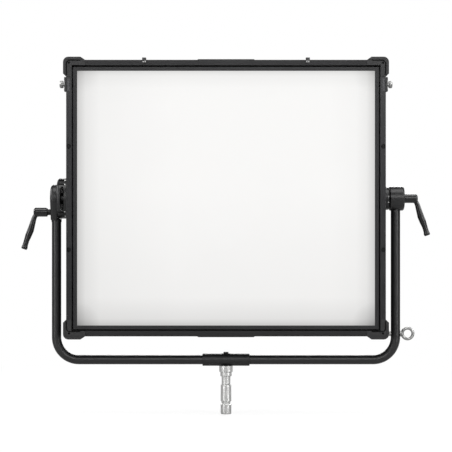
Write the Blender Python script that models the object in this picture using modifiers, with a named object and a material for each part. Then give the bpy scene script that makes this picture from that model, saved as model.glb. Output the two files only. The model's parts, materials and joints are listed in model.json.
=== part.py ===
"""LED panel light: a square soft panel that tilts in a U-shaped yoke on a stand pin.

Metres, +Z up. The origin is the centre of the pin's lower end face. The panel faces -Y, and +X is the
right-hand side as seen from the front. Head pieces are placed from the tilt axis, which runs along X.
"""

import math

import bmesh
import bpy
from mathutils import Matrix, Vector

MM = 0.001
GAP = 0.3 * MM                   # between pieces that rest on or fit round each other
RUNNING_GAP = 0.8 * MM           # between pieces that turn or slide past each other

# Head: chassis rails, front bezel and rear cover (u is inward from the side, v is back from the front)
HEAD_CLEARANCE = 54 * MM         # from the yoke's tube to the bottom rail
HEAD_WIDTH = 845 * MM
HEAD_HEIGHT = 731 * MM
HEAD_DEPTH = 118 * MM
PIVOT_SETBACK = 60 * MM
RING_WIDTH = 15 * MM
CHANNEL_WIDTH = 3.7 * MM
BEZEL_WIDTH = 10 * MM
BEZEL_RECESS = 1.5 * MM
LIP_DEPTH = 22 * MM
RAIL_WALL = 5 * MM
RAIL_FLANGE = 4 * MM
DIFFUSER_OVERLAP = 6.5 * MM      # of bezel lip over the opal panel
DIFFUSER_THICKNESS = 3 * MM
EDGE_CHAMFER = 1 * MM
COVER_THICKNESS = 3 * MM
REAR_RIM = 6.7 * MM
SIDE_GROOVE_WIDTH = 6 * MM
SIDE_GROOVE_DEPTH = 2 * MM

# Corner guards, centre plates and top clips
GUARD_PROUD = 8 * MM
GUARD_FACE_PROUD = 2 * MM
GUARD_ARM_X = 46 * MM
GUARD_ARM_Z = 44.5 * MM
GUARD_SLOPE_X = 12 * MM
GUARD_SLOPE_Z = 8 * MM
GUARD_RADIUS = 14 * MM
GUARD_FACE_WIDTH = 14 * MM
GUARD_SCREW_INSET = 8 * MM
GUARD_SCREW_RADIUS = 3 * MM
GUARD_SEAM = 1.2 * MM
CENTRE_PLATE_LENGTH = 150 * MM
CENTRE_PLATE_PROUD = 2.5 * MM
CENTRE_PLATE_MARGIN = 8 * MM
CLIP_OFFSET = 216 * MM
CLIP_WIDTH = 11 * MM
CLIP_HEIGHT = 6 * MM
CLIP_THICKNESS = 2.5 * MM
CLIP_TAB = 9 * MM
CLIP_HOOK = 8 * MM               # over the rail, back from its front face

# Pull pins near the top of both sides
LATCH_CLEARANCE = 1 * MM         # below the upper corner guard
LATCH_PLATE_LENGTH = 38 * MM
LATCH_PLATE_WIDTH = 21 * MM
LATCH_PLATE_THICKNESS = 5 * MM
LATCH_PIN_RADIUS = 3 * MM
LATCH_KNOB_RADIUS = 10 * MM
LATCH_KNOB_LENGTH = 10 * MM
LATCH_NECK_RADIUS = 5.5 * MM
LATCH_NECK_LENGTH = 2.5 * MM

# Light box
TRAY_DEPTH = 70 * MM
TRAY_WALL = 1.5 * MM
TRAY_LIP = 5 * MM
TRAY_DRAFT = 28 * MM
BOARD_THICKNESS = 1.6 * MM
BOARD_SEAM = 6 * MM
EMITTER_SIZE = 12 * MM
EMITTER_THICKNESS = 1.2 * MM
EMITTER_COLUMNS = 6
EMITTER_ROWS = 5

# Heat sink
SINK_WIDTH = 410 * MM
SINK_BOTTOM = -45 * MM
SINK_TOP = 295 * MM
SINK_BASE = 6 * MM
FIN_THICKNESS = 2.5 * MM
FIN_PITCH = 15.5 * MM
FIN_SETBACK = 2 * MM             # fin tips below the chassis's rear edge

# Vent slots in the rear cover
VENT_COLUMNS = 7
VENT_ROWS = 2
VENT_X = 215 * MM
VENT_TOP = -165 * MM
VENT_PITCH_X = 20 * MM
VENT_PITCH_Z = 80 * MM
VENT_WIDTH = 6 * MM
VENT_LENGTH = 64 * MM

# Fans
FAN_SIZE = 92 * MM
FAN_DEPTH = 25 * MM
FAN_OFFSET = 295 * MM
FAN_HEIGHT = 125 * MM
FAN_BORE_RADIUS = 43.5 * MM
FAN_HUB_RADIUS = 18 * MM
FAN_BLADES = 7
FAN_BLADE_TIP_GAP = 2 * MM
FAN_BLADE_THICKNESS = 1.4 * MM
FAN_STRUT = 3 * MM
FAN_GUARD_THICKNESS = 2.4 * MM
GUARD_RING_WIDTH = 2 * MM

# Control housing
CONTROL_WIDTH = 350 * MM
CONTROL_BOTTOM = -320 * MM
CONTROL_TOP = -110 * MM
CONTROL_DEPTH = 39 * MM
CONTROL_WALL = 2.5 * MM
CONTROL_SLOPE = 24 * MM
CONTROL_TAPER = 4 * MM
CONTROL_EDGE = 4 * MM
DISPLAY_WIDTH = 92 * MM
DISPLAY_HEIGHT = 52 * MM
DISPLAY_X = -70 * MM
PANEL_HEIGHT = -200 * MM         # display and knob centres
KNOB_RADIUS = 12 * MM
KNOB_HEIGHT = 14 * MM
KNOB_X = (35 * MM, 85 * MM)
KNOB_SHAFT_RADIUS = 3 * MM
KNOB_SHAFT = 9 * MM              # behind the panel
KNOB_FLUTES = 18
KNOB_FLUTE_DEPTH = 0.9 * MM
BUTTON_RADIUS = 6 * MM
BUTTON_X = (-95 * MM, -45 * MM)
BUTTON_DROP = 48 * MM
BUTTON_PROUD = 2.5 * MM
ROCKER_X = 130 * MM
ROCKER_WIDTH = 14 * MM
ROCKER_LENGTH = 22 * MM
SOCKET_X = (-120 * MM, -60 * MM, 0.0, 60 * MM)
SOCKET_BODY_RADIUS = 11.8 * MM
SOCKET_BORE_RADIUS = 8.6 * MM
SOCKET_FLANGE_X = 26 * MM
SOCKET_FLANGE_Y = 30 * MM
SOCKET_FLANGE = 2 * MM
SOCKET_LENGTH = 25 * MM
SOCKET_BORE_DEPTH = 12 * MM
SOCKET_SETBACK = 19 * MM

# Driver board in the control housing and power supply behind the light box
BOARD_WIDTH = 300 * MM
BOARD_STANDOFF = 7 * MM
BOARD_MARGIN = 45 * MM           # above and below the board inside the housing
POST_RADIUS = 3 * MM
POST_INSET = 10 * MM
CHIP_DROP = 35 * MM
CHIPS = ((-90 * MM, 34 * MM, 12 * MM), (-20 * MM, 22 * MM, 9 * MM), (60 * MM, 40 * MM, 10 * MM))
SUPPLY_X = (-170 * MM, 60 * MM)
SUPPLY_Z = (-300 * MM, -140 * MM)
SUPPLY_CLEARANCE = 6.5 * MM      # to the rear cover
SUPPLY_CHAMFER = 2 * MM

# Rear handles
HANDLE_X = 375 * MM
HANDLE_HALF = 92 * MM
HANDLE_RADIUS = 8 * MM
HANDLE_STAND = 34 * MM
HANDLE_BEND = 20 * MM
HANDLE_FOOT_RADIUS = 14 * MM
HANDLE_FOOT = 4 * MM

# Yoke
TUBE_RADIUS = 12.5 * MM
TUBE_WALL = 2.2 * MM
TUBE_SIDE_OFFSET = 31.8 * MM     # leg centre line outside the head's side face
YOKE_BASE_HEIGHT = 145 * MM
YOKE_BEND = 60 * MM
SLEEVE_LENGTH = 126 * MM
SLEEVE_RADIUS = 16.5 * MM
BOLT_RADIUS = 4 * MM
BOLT_HEAD_RADIUS = 6.7 * MM
BOLT_HEAD_HEIGHT = 4.2 * MM
WASHER_RADIUS = 12 * MM
WASHER_THICKNESS = 2 * MM
WASHER_SEAT = 14.3 * MM          # above the tube's centre line
BOLT_REACH = 39 * MM             # of the bolt's tip below the tube's centre line

# Stand pin: heights above its lower end, and radii
PIN_RADIUS = 14.3 * MM
PIN_GROOVE_RADIUS = 11.8 * MM
PIN_NECK_RADIUS = 11.8 * MM
PIN_STEP_RADIUS = 15.2 * MM
PIN_COLLAR_RADIUS = 18.3 * MM
PIN_CHAMFER = 2 * MM
PIN_END_TOP = 26 * MM
PIN_GROOVE_TOP = 32 * MM
PIN_BARREL_TOP = 77.5 * MM
PIN_NECK_TOP = 100.5 * MM
PIN_STEP_TOP = 112 * MM

# Left pivot: slotted brake drum on the head, plate on the yoke
DRUM_RADIUS = 54 * MM
DRUM_LENGTH = 28 * MM
DRUM_DISC = 9 * MM
DRUM_RIM = 7.5 * MM
DRUM_BOSS_RADIUS = 15 * MM
DRUM_ROUNDING = 8 * MM
CLAMP_DROP = 36.7 * MM           # of the clamp stud below the tilt axis
SLOT_HALF_ANGLE = math.radians(100)
STUD_RADIUS = 6 * MM
WINDOW_HALF_HEIGHT = 31.5 * MM
WINDOW_HALF_WIDTH = 5 * MM
WINDOW_OFFSET = 12.5 * MM
PLATE_THICKNESS = 18 * MM
PLATE_TOP_RADIUS = 37 * MM
PLATE_FOOT_HALF = 20 * MM
PLATE_DROP = 54.5 * MM
PLATE_ROUNDING = 9 * MM
FOOT_HEIGHT = 6 * MM
SPIGOT_LENGTH = 36 * MM
PIVOT_BOLT_RADIUS = 8 * MM
PIVOT_HEAD_RADIUS = 11 * MM
PIVOT_HEAD_HEIGHT = 1.4 * MM
COLLAR_RADIUS = 8 * MM
COLLAR_LENGTH = 9.3 * MM
NUT_ACROSS = 16 * MM
NUT_THICKNESS = 6.5 * MM

# Right pivot: flange and axle on the head, round casting on the yoke
FLANGE_RADIUS = 32 * MM
FLANGE_THICKNESS = 6 * MM
BOSS_RADIUS = 20 * MM
AXLE_RADIUS = 10 * MM
CASTING_RADIUS = 32.5 * MM
CASTING_START = 15.5 * MM
CASTING_END = 54 * MM
CASTING_ROUNDING = 5 * MM
BUSH_WALL = 2.7 * MM
CASTING_END_WALL = 6 * MM
TUBE_SOCKET_DROP = 24 * MM       # tube end below the right pivot axis

# Pockets in the drum's rim for the screws that hold it to the side rail
PIVOT_SCREW_HEAD_RADIUS = 3.6 * MM
DRUM_SCREW_CIRCLE = 50 * MM
DRUM_SCREW_SEAT = 8 * MM
DRUM_SCREW_ANGLES = (22, 44, 136, 158, 202, 224, 316, 338)

# Clamping levers
HUB_RADIUS = 12.1 * MM
HUB_LENGTH = 36.8 * MM
HUB_CHAMFER = 4 * MM
SPLINE_TEETH = 12
SPLINE_RADIUS = 7 * MM
SPLINE_DEPTH = 0.7 * MM
SPLINE_LENGTH = 20 * MM
HUB_FLOOR = 3 * MM
RETAINER_RADIUS = 6.5 * MM
RETAINER_LENGTH = 3.5 * MM
RETAINER_NECK = 3.5 * MM
LEVER_LIFT = 4 * MM
ARM_RADIUS = 7.2 * MM
ARM_FLATNESS = 1.25
ARM_ROUTE = (                    # out from the hub's inner end, down from its axis, share of the radius
    (27 * MM, -2 * MM, 0.80), (31.5 * MM, 7 * MM, 0.84), (36 * MM, 16 * MM, 0.90),
    (41 * MM, 32 * MM, 1.00), (46 * MM, 48 * MM, 1.02), (51 * MM, 62 * MM, 0.96),
    (55.5 * MM, 76 * MM, 0.86), (59.5 * MM, 88 * MM, 0.94), (61.8 * MM, 95 * MM, 1.02),
    (63 * MM, 98.5 * MM, 0.80),
)

# Safety eye
EYE_RISE = 10 * MM               # above the end of the tube's bend
EYE_MAJOR = 14.3 * MM
EYE_MINOR = 4.1 * MM
EYE_SHANK_RADIUS = 4 * MM
EYE_COLLAR_RADIUS = 8 * MM
EYE_COLLAR = 3 * MM
EYE_STANDOFF = 32.5 * MM         # ring centre from the leg's centre line
EYE_NUT_ACROSS = 13 * MM
EYE_NUT_THICKNESS = 5.5 * MM

# Worked out from the above
HALF_WIDTH = HEAD_WIDTH / 2
HALF_HEIGHT = HEAD_HEIGHT / 2
PIVOT_HEIGHT = YOKE_BASE_HEIGHT + TUBE_RADIUS + HEAD_CLEARANCE + HALF_HEIGHT
GUARD_REACH_Z = GUARD_ARM_Z - GUARD_PROUD + GUARD_SLOPE_Z
LATCH_HEIGHT = HALF_HEIGHT - GUARD_REACH_Z - LATCH_CLEARANCE - LATCH_PLATE_LENGTH / 2
EYE_HEIGHT = YOKE_BASE_HEIGHT + YOKE_BEND + EYE_RISE
FRONT_Y = -PIVOT_SETBACK
BACK_Y = FRONT_Y + HEAD_DEPTH
BEZEL_U = RING_WIDTH + CHANNEL_WIDTH
OPENING_U = BEZEL_U + BEZEL_WIDTH
FLANGE_REACH = OPENING_U + 3.3 * MM
COVER_SEAT = HEAD_DEPTH - REAR_RIM - COVER_THICKNESS
COVER_BACK_Y = FRONT_Y + HEAD_DEPTH - REAR_RIM
LEG_X = HALF_WIDTH + TUBE_SIDE_OFFSET
BOLT_TIP_HEIGHT = YOKE_BASE_HEIGHT - BOLT_REACH
PLATE_START = DRUM_LENGTH + RUNNING_GAP / 2
PLATE_END = PLATE_START + PLATE_THICKNESS
LEFT_HUB_START = PLATE_END + GAP + COLLAR_LENGTH
RIGHT_HUB_START = CASTING_END + GAP
CONTROL_BACK_Y = COVER_BACK_Y + GAP + CONTROL_DEPTH
LATCH_Y = FRONT_Y + LIP_DEPTH / 2
QUARTER = math.pi / 2


# ---------------------------------------------------------------- scene and helpers

for old in list(bpy.data.objects):
    bpy.data.objects.remove(old, do_unlink=True)

PARTS = bpy.data.collections.new("led_panel_light")
CUTTERS = bpy.data.collections.new("cutters")
bpy.context.scene.collection.children.link(PARTS)
bpy.context.scene.collection.children.link(CUTTERS)


def make_material(name, colour, roughness, metallic):
    material = bpy.data.materials.new(name)
    material.use_nodes = True
    shader = material.node_tree.nodes["Principled BSDF"]
    shader.inputs["Base Color"].default_value = (*colour, 1)
    shader.inputs["Roughness"].default_value = roughness
    shader.inputs["Metallic"].default_value = metallic
    return material


BLACK_ANODISED = make_material("black_anodised", (0.045, 0.045, 0.048), 0.45, 0.6)
BLACK_PAINT = make_material("black_paint", (0.03, 0.03, 0.032), 0.5, 0.0)
PAINTED_ALUMINIUM = make_material("painted_aluminium", (0.03, 0.03, 0.032), 0.5, 0.0)
BLACK_PLASTIC = make_material("black_plastic", (0.025, 0.025, 0.026), 0.55, 0.0)
BRIGHT_STEEL = make_material("bright_steel", (0.62, 0.62, 0.60), 0.3, 1.0)
OPAL = make_material("opal_diffuser", (0.86, 0.86, 0.85), 0.55, 0.0)
WHITE_REFLECTOR = make_material("white_reflector", (0.9, 0.9, 0.88), 0.6, 0.0)
BOARD_WHITE = make_material("board_white", (0.8, 0.82, 0.8), 0.5, 0.0)
BOARD_GREEN = make_material("board_green", (0.03, 0.16, 0.07), 0.5, 0.0)
BRONZE = make_material("bush_bronze", (0.42, 0.28, 0.12), 0.4, 1.0)
SCREEN_GLASS = make_material("screen_glass", (0.01, 0.012, 0.015), 0.1, 0.0)
GALVANISED = make_material("supply_case", (0.55, 0.56, 0.57), 0.45, 0.9)


def axis_empty(name, location, parent=None):
    """An empty on a joint's axis, which carries the pieces that move together."""
    empty = bpy.data.objects.new(name, None)
    empty.empty_display_size = 0.03
    empty.location = location
    empty.parent = parent
    PARTS.objects.link(empty)
    return empty


def add_object(name, data, material, location=(0, 0, 0), turn=(0, 0, 0), parent=None):
    """Link a mesh or curve as a part, or as a cutter where there is no material."""
    item = bpy.data.objects.new(name, data)
    item.location = location
    item.rotation_euler = turn
    item.parent = parent
    if material is None:
        CUTTERS.objects.link(item)
        item.hide_render = True
        item.display_type = "WIRE"
    else:
        PARTS.objects.link(item)
        data.materials.append(material)
    return item


def mesh_from(bm, name):
    mesh = bpy.data.meshes.new(name)
    bm.to_mesh(mesh)
    bm.free()
    return mesh


def smooth(item, angle=35):
    item.data.shade_smooth()
    item.data.set_sharp_from_angle(angle=math.radians(angle))
    return item


def block(name, low, high, material, parent=None, edge=0.0):
    """A box between two corners, with its origin at its centre and optional rounded edges."""
    low, high = Vector(low), Vector(high)
    bm = bmesh.new()
    bmesh.ops.create_cube(bm, size=1)
    bmesh.ops.scale(bm, vec=high - low, verts=bm.verts)
    item = add_object(name, mesh_from(bm, name), material, (low + high) / 2, parent=parent)
    if edge:
        bevel(item, edge)
    return item


def bevel(item, width, segments=2, angle=40):
    modifier = item.modifiers.new("edges", "BEVEL")
    modifier.width = width
    modifier.segments = segments
    modifier.limit_method = "ANGLE"
    modifier.angle_limit = math.radians(angle)
    return item


def turned(name, profile, material, location, turn=(0, 0, 0), parent=None, steps=32):
    """A turned piece: (radius, height) points run down the outer side, spun round local Z."""
    bm = bmesh.new()
    points = [bm.verts.new((radius, 0, height)) for radius, height in profile]
    for first, second in zip(points, points[1:]):
        bm.edges.new((first, second))
    if profile[0][0] > 0 or profile[-1][0] > 0:
        bm.edges.new((points[-1], points[0]))
    item = add_object(name, mesh_from(bm, name), material, location, turn, parent)
    screw = item.modifiers.new("turn", "SCREW")
    screw.steps = steps
    screw.render_steps = steps
    screw.use_merge_vertices = True
    screw.merge_threshold = 0.00001
    return item


def cylinder(name, radius, low, high, material, location, turn=(0, 0, 0), parent=None, steps=24):
    """A plain rod along local Z from low to high."""
    profile = [(0, high), (radius, high), (radius, low), (0, low)]
    return turned(name, profile, material, location, turn, parent, steps)


def outlined(name, loops, thickness, material, location, turn=(0, 0, 0), parent=None):
    """A flat piece in local XY, centred on its thickness. Later loops are holes in the first."""
    curve = bpy.data.curves.new(name, "CURVE")
    curve.dimensions = "2D"
    curve.fill_mode = "BOTH"
    curve.extrude = thickness / 2
    for loop in loops:
        spline = curve.splines.new("POLY")
        spline.points.add(len(loop) - 1)
        spline.use_cyclic_u = True
        for point, (x, y) in zip(spline.points, loop):
            point.co = (x, y, 0, 1)
    return add_object(name, curve, material, location, turn, parent)


def rod_curve(name, points, radius, material, location=(0, 0, 0), turn=(0, 0, 0), parent=None,
              resolution=3, radii=None, caps=True):
    """A round rod along a line of points, with optional radius factors for each."""
    curve = bpy.data.curves.new(name, "CURVE")
    curve.dimensions = "3D"
    curve.bevel_depth = radius
    curve.bevel_resolution = resolution
    curve.use_fill_caps = caps
    spline = curve.splines.new("POLY")
    spline.points.add(len(points) - 1)
    for index, point in enumerate(points):
        spline.points[index].co = (*point, 1)
        spline.points[index].radius = radii[index] if radii else 1
    return add_object(name, curve, material, location, turn, parent)


def meshed(item):
    """Turn a curve object into a closed mesh object in the same place."""
    bpy.context.view_layer.update()
    evaluated = item.evaluated_get(bpy.context.evaluated_depsgraph_get())
    mesh = bpy.data.meshes.new_from_object(evaluated)
    bm = bmesh.new()
    bm.from_mesh(mesh)
    bmesh.ops.remove_doubles(bm, verts=bm.verts, dist=0.00001)
    bm.to_mesh(mesh)
    bm.free()
    name = item.name
    parent = item.parent
    place = item.matrix_local.copy()
    collection = item.users_collection[0]
    bpy.data.objects.remove(item)
    mesh.name = name
    solid = bpy.data.objects.new(name, mesh)
    solid.parent = parent
    solid.matrix_local = place
    collection.objects.link(solid)
    if collection == CUTTERS:
        solid.hide_render = True
        solid.display_type = "WIRE"
    return solid


def combine(item, other, operation):
    modifier = item.modifiers.new(other.name, "BOOLEAN")
    modifier.operation = operation
    modifier.solver = "EXACT"
    modifier.object = other
    return item


def cut(item, *cutters):
    for cutter in cutters:
        combine(item, cutter, "DIFFERENCE")
    return item


def unite(item, *others):
    for other in others:
        combine(item, other, "UNION")
    return item


def circle(radius, centre=(0, 0), count=24, start=0.0):
    return [
        (centre[0] + radius * math.cos(start + math.tau * i / count),
         centre[1] + radius * math.sin(start + math.tau * i / count))
        for i in range(count)
    ]


def rectangle(half_x, half_y, centre=(0, 0), corner=0.0, steps=3):
    """A rectangle, with round corners where corner is set."""
    if not corner:
        return [(centre[0] + sx * half_x, centre[1] + sy * half_y)
                for sx, sy in ((-1, -1), (1, -1), (1, 1), (-1, 1))]
    points = []
    for quadrant, (sx, sy) in enumerate(((-1, -1), (1, -1), (1, 1), (-1, 1))):
        middle = (centre[0] + sx * (half_x - corner), centre[1] + sy * (half_y - corner))
        for step in range(steps + 1):
            angle = math.pi + quadrant * QUARTER + QUARTER * step / steps
            points.append((middle[0] + corner * math.cos(angle),
                           middle[1] + corner * math.sin(angle)))
    return points


def slot_outline(radius, half_width, half_angle, middle, steps=16):
    """A curved slot about the origin, round-ended; middle is the direction of its centre."""
    points = []
    outer, inner = (radius + half_width) / math.cos(half_angle / steps), radius - half_width
    for i in range(steps + 1):
        angle = middle - half_angle + 2 * half_angle * i / steps
        points.append((outer * math.cos(angle), outer * math.sin(angle)))
    for side, first in ((1, 0.0), (-1, math.pi)):
        end = middle + side * half_angle
        centre = (radius * math.cos(end), radius * math.sin(end))
        for i in range(1, 4):
            angle = end + first + math.pi * i / 4
            points.append((centre[0] + half_width * math.cos(angle),
                           centre[1] + half_width * math.sin(angle)))
        if side == 1:
            for i in range(steps + 1):
                angle = middle + half_angle - 2 * half_angle * i / steps
                points.append((inner * math.cos(angle), inner * math.sin(angle)))
    return points


def outward(side):
    """Turn that points local Z out of the head's left (-1) or right (1) side."""
    return (0, side * QUARTER, 0)


FACING_Y = (QUARTER, 0, 0)       # local XY becomes world XZ, local Z points to -Y
FACING_X = (QUARTER, 0, QUARTER)  # local XY becomes world YZ, local Z points to +X
BACKWARD = (-QUARTER, 0, 0)      # local Z points to +Y

HEAD = axis_empty("head_tilt_axis", (0, 0, PIVOT_HEIGHT))


# ---------------------------------------------------------------- chassis rails

def rail_profile():
    """Section of a chassis rail as (inward, back) points from its outer front edge."""
    cover_flange = COVER_SEAT - RAIL_FLANGE
    rear_reach = OPENING_U - 6 * MM
    profile = [
        (EDGE_CHAMFER, 0), (RING_WIDTH, 0), (RING_WIDTH, LIP_DEPTH), (FLANGE_REACH, LIP_DEPTH),
        (FLANGE_REACH, LIP_DEPTH + RAIL_FLANGE), (RAIL_WALL, LIP_DEPTH + RAIL_FLANGE),
        (RAIL_WALL, cover_flange), (rear_reach, cover_flange), (rear_reach, COVER_SEAT),
        (RAIL_WALL, COVER_SEAT), (RAIL_WALL, HEAD_DEPTH), (0, HEAD_DEPTH),
    ]
    for middle in (HEAD_DEPTH - 20 * MM, LIP_DEPTH + 12 * MM):
        high, low = middle + SIDE_GROOVE_WIDTH / 2, middle - SIDE_GROOVE_WIDTH / 2
        profile += [(0, high), (SIDE_GROOVE_DEPTH, high), (SIDE_GROOVE_DEPTH, low), (0, low)]
    profile.append((0, EDGE_CHAMFER))
    return profile


def add_rail(name, half_span, reach_x, reach_z, angle):
    """A rail whose ends are mitred, so that its length falls by its inward distance."""
    bm = bmesh.new()
    section = bm.faces.new([bm.verts.new((-1, back, -inward)) for inward, back in rail_profile()])
    grown = bmesh.ops.extrude_face_region(bm, geom=[section])
    far = [element for element in grown["geom"] if isinstance(element, bmesh.types.BMVert)]
    bmesh.ops.translate(bm, vec=(2, 0, 0), verts=far)
    for vert in bm.verts:
        vert.co.x *= half_span + vert.co.z - GAP / 2
    bmesh.ops.recalc_face_normals(bm, faces=bm.faces)
    return add_object(name, mesh_from(bm, name), BLACK_ANODISED,
                      (reach_x * HALF_WIDTH, FRONT_Y, reach_z * HALF_HEIGHT), (0, angle, 0), HEAD)


TOP_RAIL = add_rail("top_rail", HALF_WIDTH, 0, 1, 0)
BOTTOM_RAIL = add_rail("bottom_rail", HALF_WIDTH, 0, -1, math.pi)
LEFT_RAIL = add_rail("left_rail", HALF_HEIGHT, -1, 0, -QUARTER)
RIGHT_RAIL = add_rail("right_rail", HALF_HEIGHT, 1, 0, QUARTER)


# ---------------------------------------------------------------- bezel, diffuser, light box

def mitred_ring(name, profile, material):
    """A closed frame: (inward, back) points carried round the head's four corners."""
    bm = bmesh.new()
    rings = []
    for sx, sz in ((-1, -1), (1, -1), (1, 1), (-1, 1)):
        ring = [
            bm.verts.new((sx * (HALF_WIDTH - inward), FRONT_Y + back, sz * (HALF_HEIGHT - inward)))
            for inward, back in profile
        ]
        rings.append([bm.edges.new((ring[i], ring[i - 1])) for i in range(len(ring))])
    for index in range(len(rings)):
        bmesh.ops.bridge_loops(bm, edges=rings[index] + rings[index - 1])
    bmesh.ops.recalc_face_normals(bm, faces=bm.faces)
    return add_object(name, mesh_from(bm, name), material, parent=HEAD)


def add_diffuser_frame():
    back = BEZEL_RECESS + 4.5 * MM
    wall = 3 * MM
    profile = [
        (BEZEL_U, BEZEL_RECESS), (OPENING_U - EDGE_CHAMFER, BEZEL_RECESS),
        (OPENING_U, BEZEL_RECESS + EDGE_CHAMFER), (OPENING_U, back),
        (BEZEL_U + wall, back), (BEZEL_U + wall, LIP_DEPTH - GAP), (BEZEL_U, LIP_DEPTH - GAP),
    ]
    frame = mitred_ring("diffuser_frame", profile, BLACK_ANODISED)
    for side in (-1, 1):
        hole = cylinder("frame_pin_hole", LATCH_PIN_RADIUS + RUNNING_GAP / 2, -OPENING_U, -RING_WIDTH,
                        None, (side * HALF_WIDTH, LATCH_Y, LATCH_HEIGHT), outward(side), HEAD, 16)
        cut(frame, hole)
    front = FRONT_Y + back + GAP
    half_x = HALF_WIDTH - OPENING_U + DIFFUSER_OVERLAP
    half_z = HALF_HEIGHT - OPENING_U + DIFFUSER_OVERLAP
    block("diffuser_panel", (-half_x, front, -half_z),
          (half_x, front + DIFFUSER_THICKNESS, half_z), OPAL, HEAD)


add_diffuser_frame()

TRAY_FRONT = LIP_DEPTH + RAIL_FLANGE + GAP
TRAY_OPENING_U = FLANGE_REACH + 2 * MM
TRAY_HALF_X = HALF_WIDTH - TRAY_OPENING_U - TRAY_DRAFT
TRAY_HALF_Z = HALF_HEIGHT - TRAY_OPENING_U - TRAY_DRAFT


def add_mixing_tray():
    """A white pan: flat floor, sloped walls and a lip that lies behind the rails' flange."""
    bm = bmesh.new()
    bmesh.ops.create_grid(bm, x_segments=1, y_segments=1, size=1)
    bmesh.ops.rotate(bm, cent=(0, 0, 0), matrix=Matrix.Rotation(QUARTER, 3, "X"), verts=bm.verts)
    bmesh.ops.scale(bm, vec=(TRAY_HALF_X, 1, TRAY_HALF_Z), verts=bm.verts)
    bmesh.ops.translate(bm, vec=(0, FRONT_Y + TRAY_DEPTH, 0), verts=bm.verts)
    for spread, depth in ((TRAY_DRAFT, TRAY_FRONT - TRAY_DEPTH), (TRAY_LIP, 0)):
        edges = [edge for edge in bm.edges if edge.is_boundary]
        grown = bmesh.ops.extrude_edge_only(bm, edges=edges)
        for vert in (g for g in grown["geom"] if isinstance(g, bmesh.types.BMVert)):
            vert.co.x += math.copysign(spread, vert.co.x)
            vert.co.z += math.copysign(spread, vert.co.z)
            vert.co.y += depth
    bmesh.ops.recalc_face_normals(bm, faces=bm.faces)
    if max(bm.faces, key=lambda face: face.calc_area()).normal.y > 0:
        bmesh.ops.reverse_faces(bm, faces=bm.faces)
    tray = add_object("mixing_tray", mesh_from(bm, "mixing_tray"), WHITE_REFLECTOR, parent=HEAD)
    shell = tray.modifiers.new("sheet", "SOLIDIFY")
    shell.thickness = TRAY_WALL
    shell.offset = -1
    shell.use_even_offset = True
    return tray


def add_led_board(word, side):
    """Half of the tray's floor: a board with a grid of emitters soldered to it."""
    board_back = FRONT_Y + TRAY_DEPTH - GAP
    board_front = board_back - BOARD_THICKNESS
    width, reach_z = TRAY_HALF_X - BOARD_SEAM, TRAY_HALF_Z - BOARD_SEAM
    near, far = sorted((side * BOARD_SEAM / 2, side * width))
    board = block(f"led_board_{word}", (near, board_front, -reach_z), (far, board_back, reach_z),
                  BOARD_WHITE, HEAD)
    bm = bmesh.new()
    for column in range(EMITTER_COLUMNS // 2):
        for row in range(EMITTER_ROWS):
            made = bmesh.ops.create_cube(bm, size=1)["verts"]
            bmesh.ops.scale(bm, vec=(EMITTER_SIZE, 2 * EMITTER_THICKNESS, EMITTER_SIZE), verts=made)
            centre = (side * width * (column + 0.5) / (EMITTER_COLUMNS / 2), board_front,
                      reach_z * (2 * (row + 0.5) / EMITTER_ROWS - 1))
            bmesh.ops.translate(bm, vec=centre, verts=made)
    emitters = add_object(f"led_emitters_{word}", mesh_from(bm, "led_emitters"), None, parent=HEAD)
    return unite(board, emitters)


add_mixing_tray()
add_led_board("left", -1)
add_led_board("right", 1)
ENGINE_BACK = TRAY_DEPTH + TRAY_WALL + GAP


# ---------------------------------------------------------------- heat sink and rear cover

def add_heat_sink():
    """An extrusion: a base with upright fins, drawn as a comb and run along Z."""
    tip = HEAD_DEPTH - FIN_SETBACK
    base = ENGINE_BACK + SINK_BASE
    count = int(SINK_WIDTH / FIN_PITCH)
    first = -(count - 1) * FIN_PITCH / 2
    comb = [(-SINK_WIDTH / 2, base), (-SINK_WIDTH / 2, ENGINE_BACK), (SINK_WIDTH / 2, ENGINE_BACK),
            (SINK_WIDTH / 2, base)]
    for index in reversed(range(count)):
        middle = first + index * FIN_PITCH
        root, point = FIN_THICKNESS / 2 + 0.4 * MM, FIN_THICKNESS / 2
        comb += [(middle + root, base), (middle + point, tip), (middle - point, tip),
                 (middle - root, base)]
    outline = [(x, FRONT_Y + back) for x, back in comb]
    return outlined("heat_sink", [outline], SINK_TOP - SINK_BOTTOM, BLACK_ANODISED,
                    (0, 0, (SINK_TOP + SINK_BOTTOM) / 2), parent=HEAD)


def vent_slots():
    """Rows of upright vent slots either side of the control housing."""
    loops = []
    for side in (-1, 1):
        for column in range(VENT_COLUMNS):
            for row in range(VENT_ROWS):
                centre = (side * (VENT_X + column * VENT_PITCH_X), VENT_TOP - row * VENT_PITCH_Z)
                loops.append(rectangle(VENT_WIDTH / 2, VENT_LENGTH / 2, centre))
    return loops


def add_rear_cover():
    edge = RAIL_WALL + GAP
    loops = [rectangle(HALF_WIDTH - edge, HALF_HEIGHT - edge)]
    window = (SINK_WIDTH / 2 + 2 * MM, (SINK_TOP - SINK_BOTTOM) / 2 + 2 * MM)
    loops.append(rectangle(*window, (0, (SINK_TOP + SINK_BOTTOM) / 2)))
    for side in (-1, 1):
        loops.append(circle(FAN_BORE_RADIUS, (side * FAN_OFFSET, FAN_HEIGHT), 24))
    loops += vent_slots()
    middle = COVER_BACK_Y - COVER_THICKNESS / 2 + GAP / 2
    cover = outlined("rear_cover", loops, COVER_THICKNESS - GAP, PAINTED_ALUMINIUM, (0, middle, 0),
                     FACING_Y, HEAD)
    return cover


add_heat_sink()
add_rear_cover()


# ---------------------------------------------------------------- fans

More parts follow.
